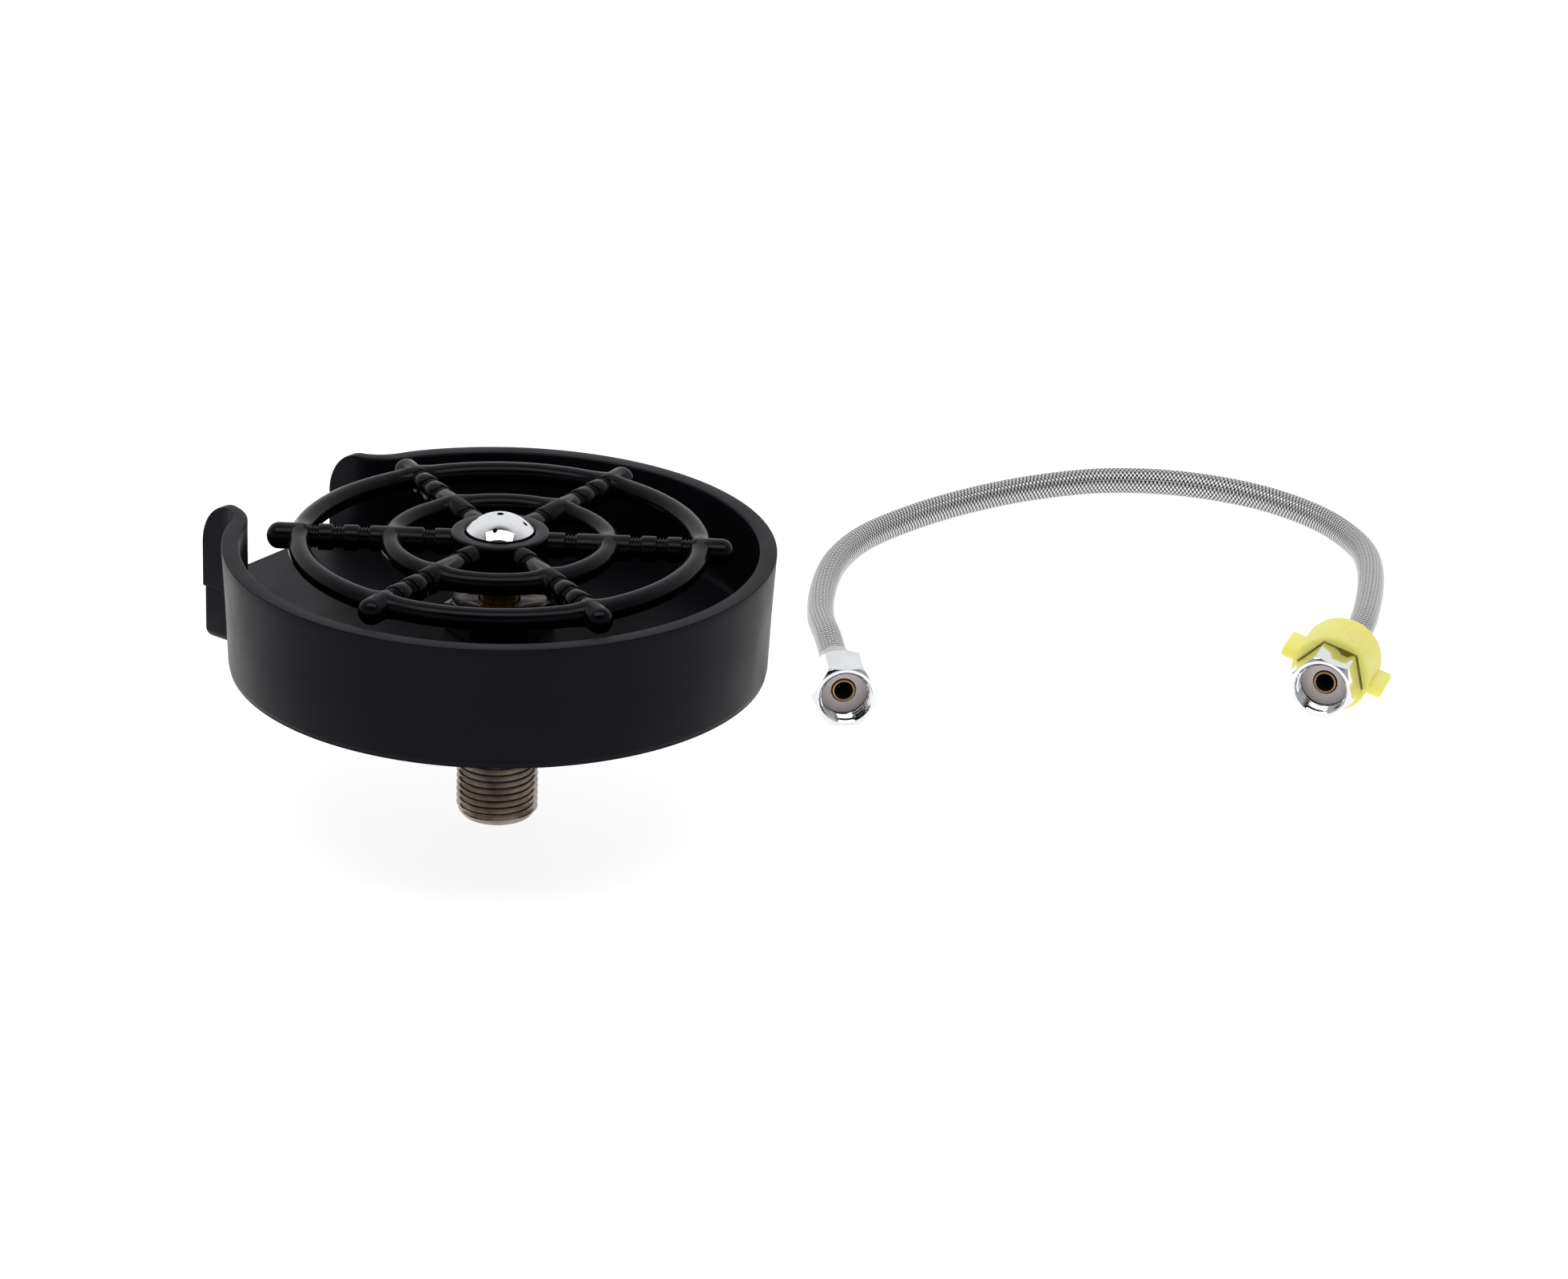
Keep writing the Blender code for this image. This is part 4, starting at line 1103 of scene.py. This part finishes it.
def carried_frames(spots):
    """Two normals at each point of a path, carried along it and never twisted."""
    tangents = np.gradient(spots, axis=0)
    tangents /= np.linalg.norm(tangents, axis=1)[:, None]
    normal = np.cross(tangents[0], (0, 0, 1.0))
    normals = np.empty_like(spots)
    for k, tangent in enumerate(tangents):
        normal = normal - tangent * (normal @ tangent)
        normal /= np.linalg.norm(normal)
        normals[k] = normal
    return normals, np.cross(tangents, normals)


def make_hose():
    """A tube whose surface is a braid: two families of flat strands that pass over and under.

    The mesh follows the strands. Each crossing is a cell of three by three faces, its corners
    sunk where the liner shows, and its middle drawn out along the strand that lies on top.
    """
    strands, lay, cut = 12, 1.27, 3
    over_rise, edge_sink, corner_sink = 0.03, 0.12, 0.40
    path, total = smooth_path(hose_points(), 0.5)
    normals, others = carried_frames(path)
    arc = np.linspace(0, total, len(path))
    rows = int(total / lay * 2 * cut)
    around = strands * cut
    step = total / rows
    m = np.repeat(np.arange(rows + 1), around)
    n = np.tile(np.arange(around), rows + 1) * 2 + m % 2
    a, b = (m + n) // 2, (m - n) // 2
    fa, fb = a % cut, b % cut
    cell_over = ((a // cut) + (b // cut)) % 2 == 0
    pull_over = np.array([0.0, -0.10, 0.10])
    pull_along = np.array([0.0, -0.26, 0.26])
    inside = (fa > 0) & (fb > 0)
    shift_a = np.where(inside, np.where(cell_over, pull_over[fa], pull_along[fa]), 0.0)
    shift_b = np.where(inside, np.where(cell_over, pull_along[fb], pull_over[fb]), 0.0)
    sa, sb = a + shift_a, b + shift_b
    along = np.clip((sa + sb) * step, 0, total)
    turn = (sa - sb) / (2 * cut) / strands * 2 * pi
    edge = ~inside & ((fa > 0) | (fb > 0))
    radius = HOSE_RADIUS + np.where(inside, over_rise, np.where(edge, -edge_sink, -corner_sink))
    # Darkness for the braid's colour: 1 at the sunk corners, where the liner shows, and 0.42 on the
    # cells' edges, which is painted shade in the gaps between strands.
    liner_and_gap_shade = np.where(inside, 0.0, np.where(edge, 0.42, 1.0))

    def at(values):
        return np.stack([np.interp(along, arc, values[:, k]) for k in range(3)], 1)

    ring = at(normals) * np.cos(turn)[:, None] + at(others) * np.sin(turn)[:, None]
    ring /= np.linalg.norm(ring, axis=1)[:, None]
    points = (at(path) + ring * radius[:, None]) * MM
    row = np.arange(rows - 1)[:, None] * around
    even = np.arange(rows - 1)[:, None] % 2 == 0
    k = np.arange(around)[None, :]
    ahead = np.where(even, k, (k + 1) % around)
    behind = np.where(even, (k - 1) % around, k)
    quads = np.stack([row + k, row + around + ahead, row + 2 * around + k, row + around + behind], -1)
    faces = quads.reshape(-1, 4).tolist()
    low, top = (rows - 1) * around, rows * around
    side = -1 if rows % 2 else 1
    faces += [(j, (j - 1) % around, around + (j - 1) % around) for j in range(around)]
    faces += [(top + j, top + (j + side) % around, low + j) for j in range(around)]
    faces.append(tuple(range(around)))
    faces.append(tuple(range(top, top + around)))
    mesh = bpy.data.meshes.new("hose_braid")
    mesh.from_pydata(points.tolist(), [], faces)
    shade = mesh.attributes.new("liner_and_gap_shade", "FLOAT", "POINT")
    shade.data.foreach_set("value", liner_and_gap_shade.astype(np.float32))
    reshape(mesh)
    mesh.shade_smooth()
    mesh.materials.append(FINISHES["braid"])
    hose = in_scene("hose_braid", mesh)
    set_piece(hose, "root", "braid", "braided_hose")
    line = path[::8].tolist()
    line.append(path[-1].tolist())
    return hose


# ------------------------ stage and light

def make_stage():
    """A wide floor just under the part, in a lit room with one lamp."""
    reach, z = 6.0, -0.0002
    mesh = bpy.data.meshes.new("floor")
    mesh.from_pydata([(-reach, -reach, z), (reach, -reach, z), (reach, reach, z),
                      (-reach, reach, z)], [], [(0, 1, 2, 3)])
    mesh.materials.append(FINISHES["floor"])
    floor = in_scene("floor", mesh)
    make_world()
    make_softbox()
    bpy.context.scene.view_settings.view_transform = "Standard"


def make_softbox():
    """A wide lamp overhead, a little to the camera's side."""
    radiance, size, distance = 3.0, (1.3, 0.5), 1.05
    away = direction(125.8, 74)
    data = bpy.data.lights.new("softbox", "AREA")
    data.shape = "RECTANGLE"
    data.size, data.size_y = size
    data.energy = radiance * pi * size[0] * size[1]
    lamp = in_scene("softbox", data)
    lamp.location = AXIS + away * distance
    lamp.rotation_mode = "QUATERNION"
    lamp.rotation_quaternion = away.to_track_quat("Z", "Y")


def make_world():
    """A room that is bright behind the object, dim in front of it and dark overhead."""
    world = bpy.data.worlds.new("studio")
    bpy.context.scene.world = world
    world.use_nodes = True
    nodes, links = world.node_tree.nodes, world.node_tree.links
    place = nodes.new("ShaderNodeTexCoord").outputs["Generated"]

    def towards(heading, start, end, low, high):
        """Goes from low to high as the cosine with the heading goes from start to end."""
        facing = nodes.new("ShaderNodeVectorMath")
        facing.operation = "DOT_PRODUCT"
        facing.inputs[1].default_value = heading
        links.new(place, facing.inputs[0])
        ramp = nodes.new("ShaderNodeMapRange")
        ramp.interpolation_type = "SMOOTHSTEP"
        fill(ramp, {"From Min": start, "From Max": end, "To Min": low, "To Max": high})
        links.new(facing.outputs["Value"], ramp.inputs["Value"])
        return ramp.outputs["Result"]

    product = nodes.new("ShaderNodeMath")
    product.operation = "MULTIPLY"
    links.new(towards((-0.78, -0.56, 0.28), -0.1, 0.75, 0.40, 0.90), product.inputs[0])
    links.new(towards((0.38, 0.27, 0.883), 0.70, 0.90, 1.0, 0.08), product.inputs[1])
    fill(nodes["Background"], {"Color": (0.98, 0.985, 1.0, 1.0)})
    links.new(product.outputs["Value"], nodes["Background"].inputs["Strength"])


make_camera()
FINISHES = make_finishes()
left_pieces = make_hose_end("left", JOINTS["left_nut_turn"], 0.0)
right_pieces = make_hose_end("right", JOINTS["right_nut_turn"], COVER_TURN)
hand_cover = make_cover(JOINTS["right_nut_turn"])
make_hose()
make_basin()
make_shank()
make_valve_nut()
make_inner_pieces()
make_spring()
make_star()
make_stage()
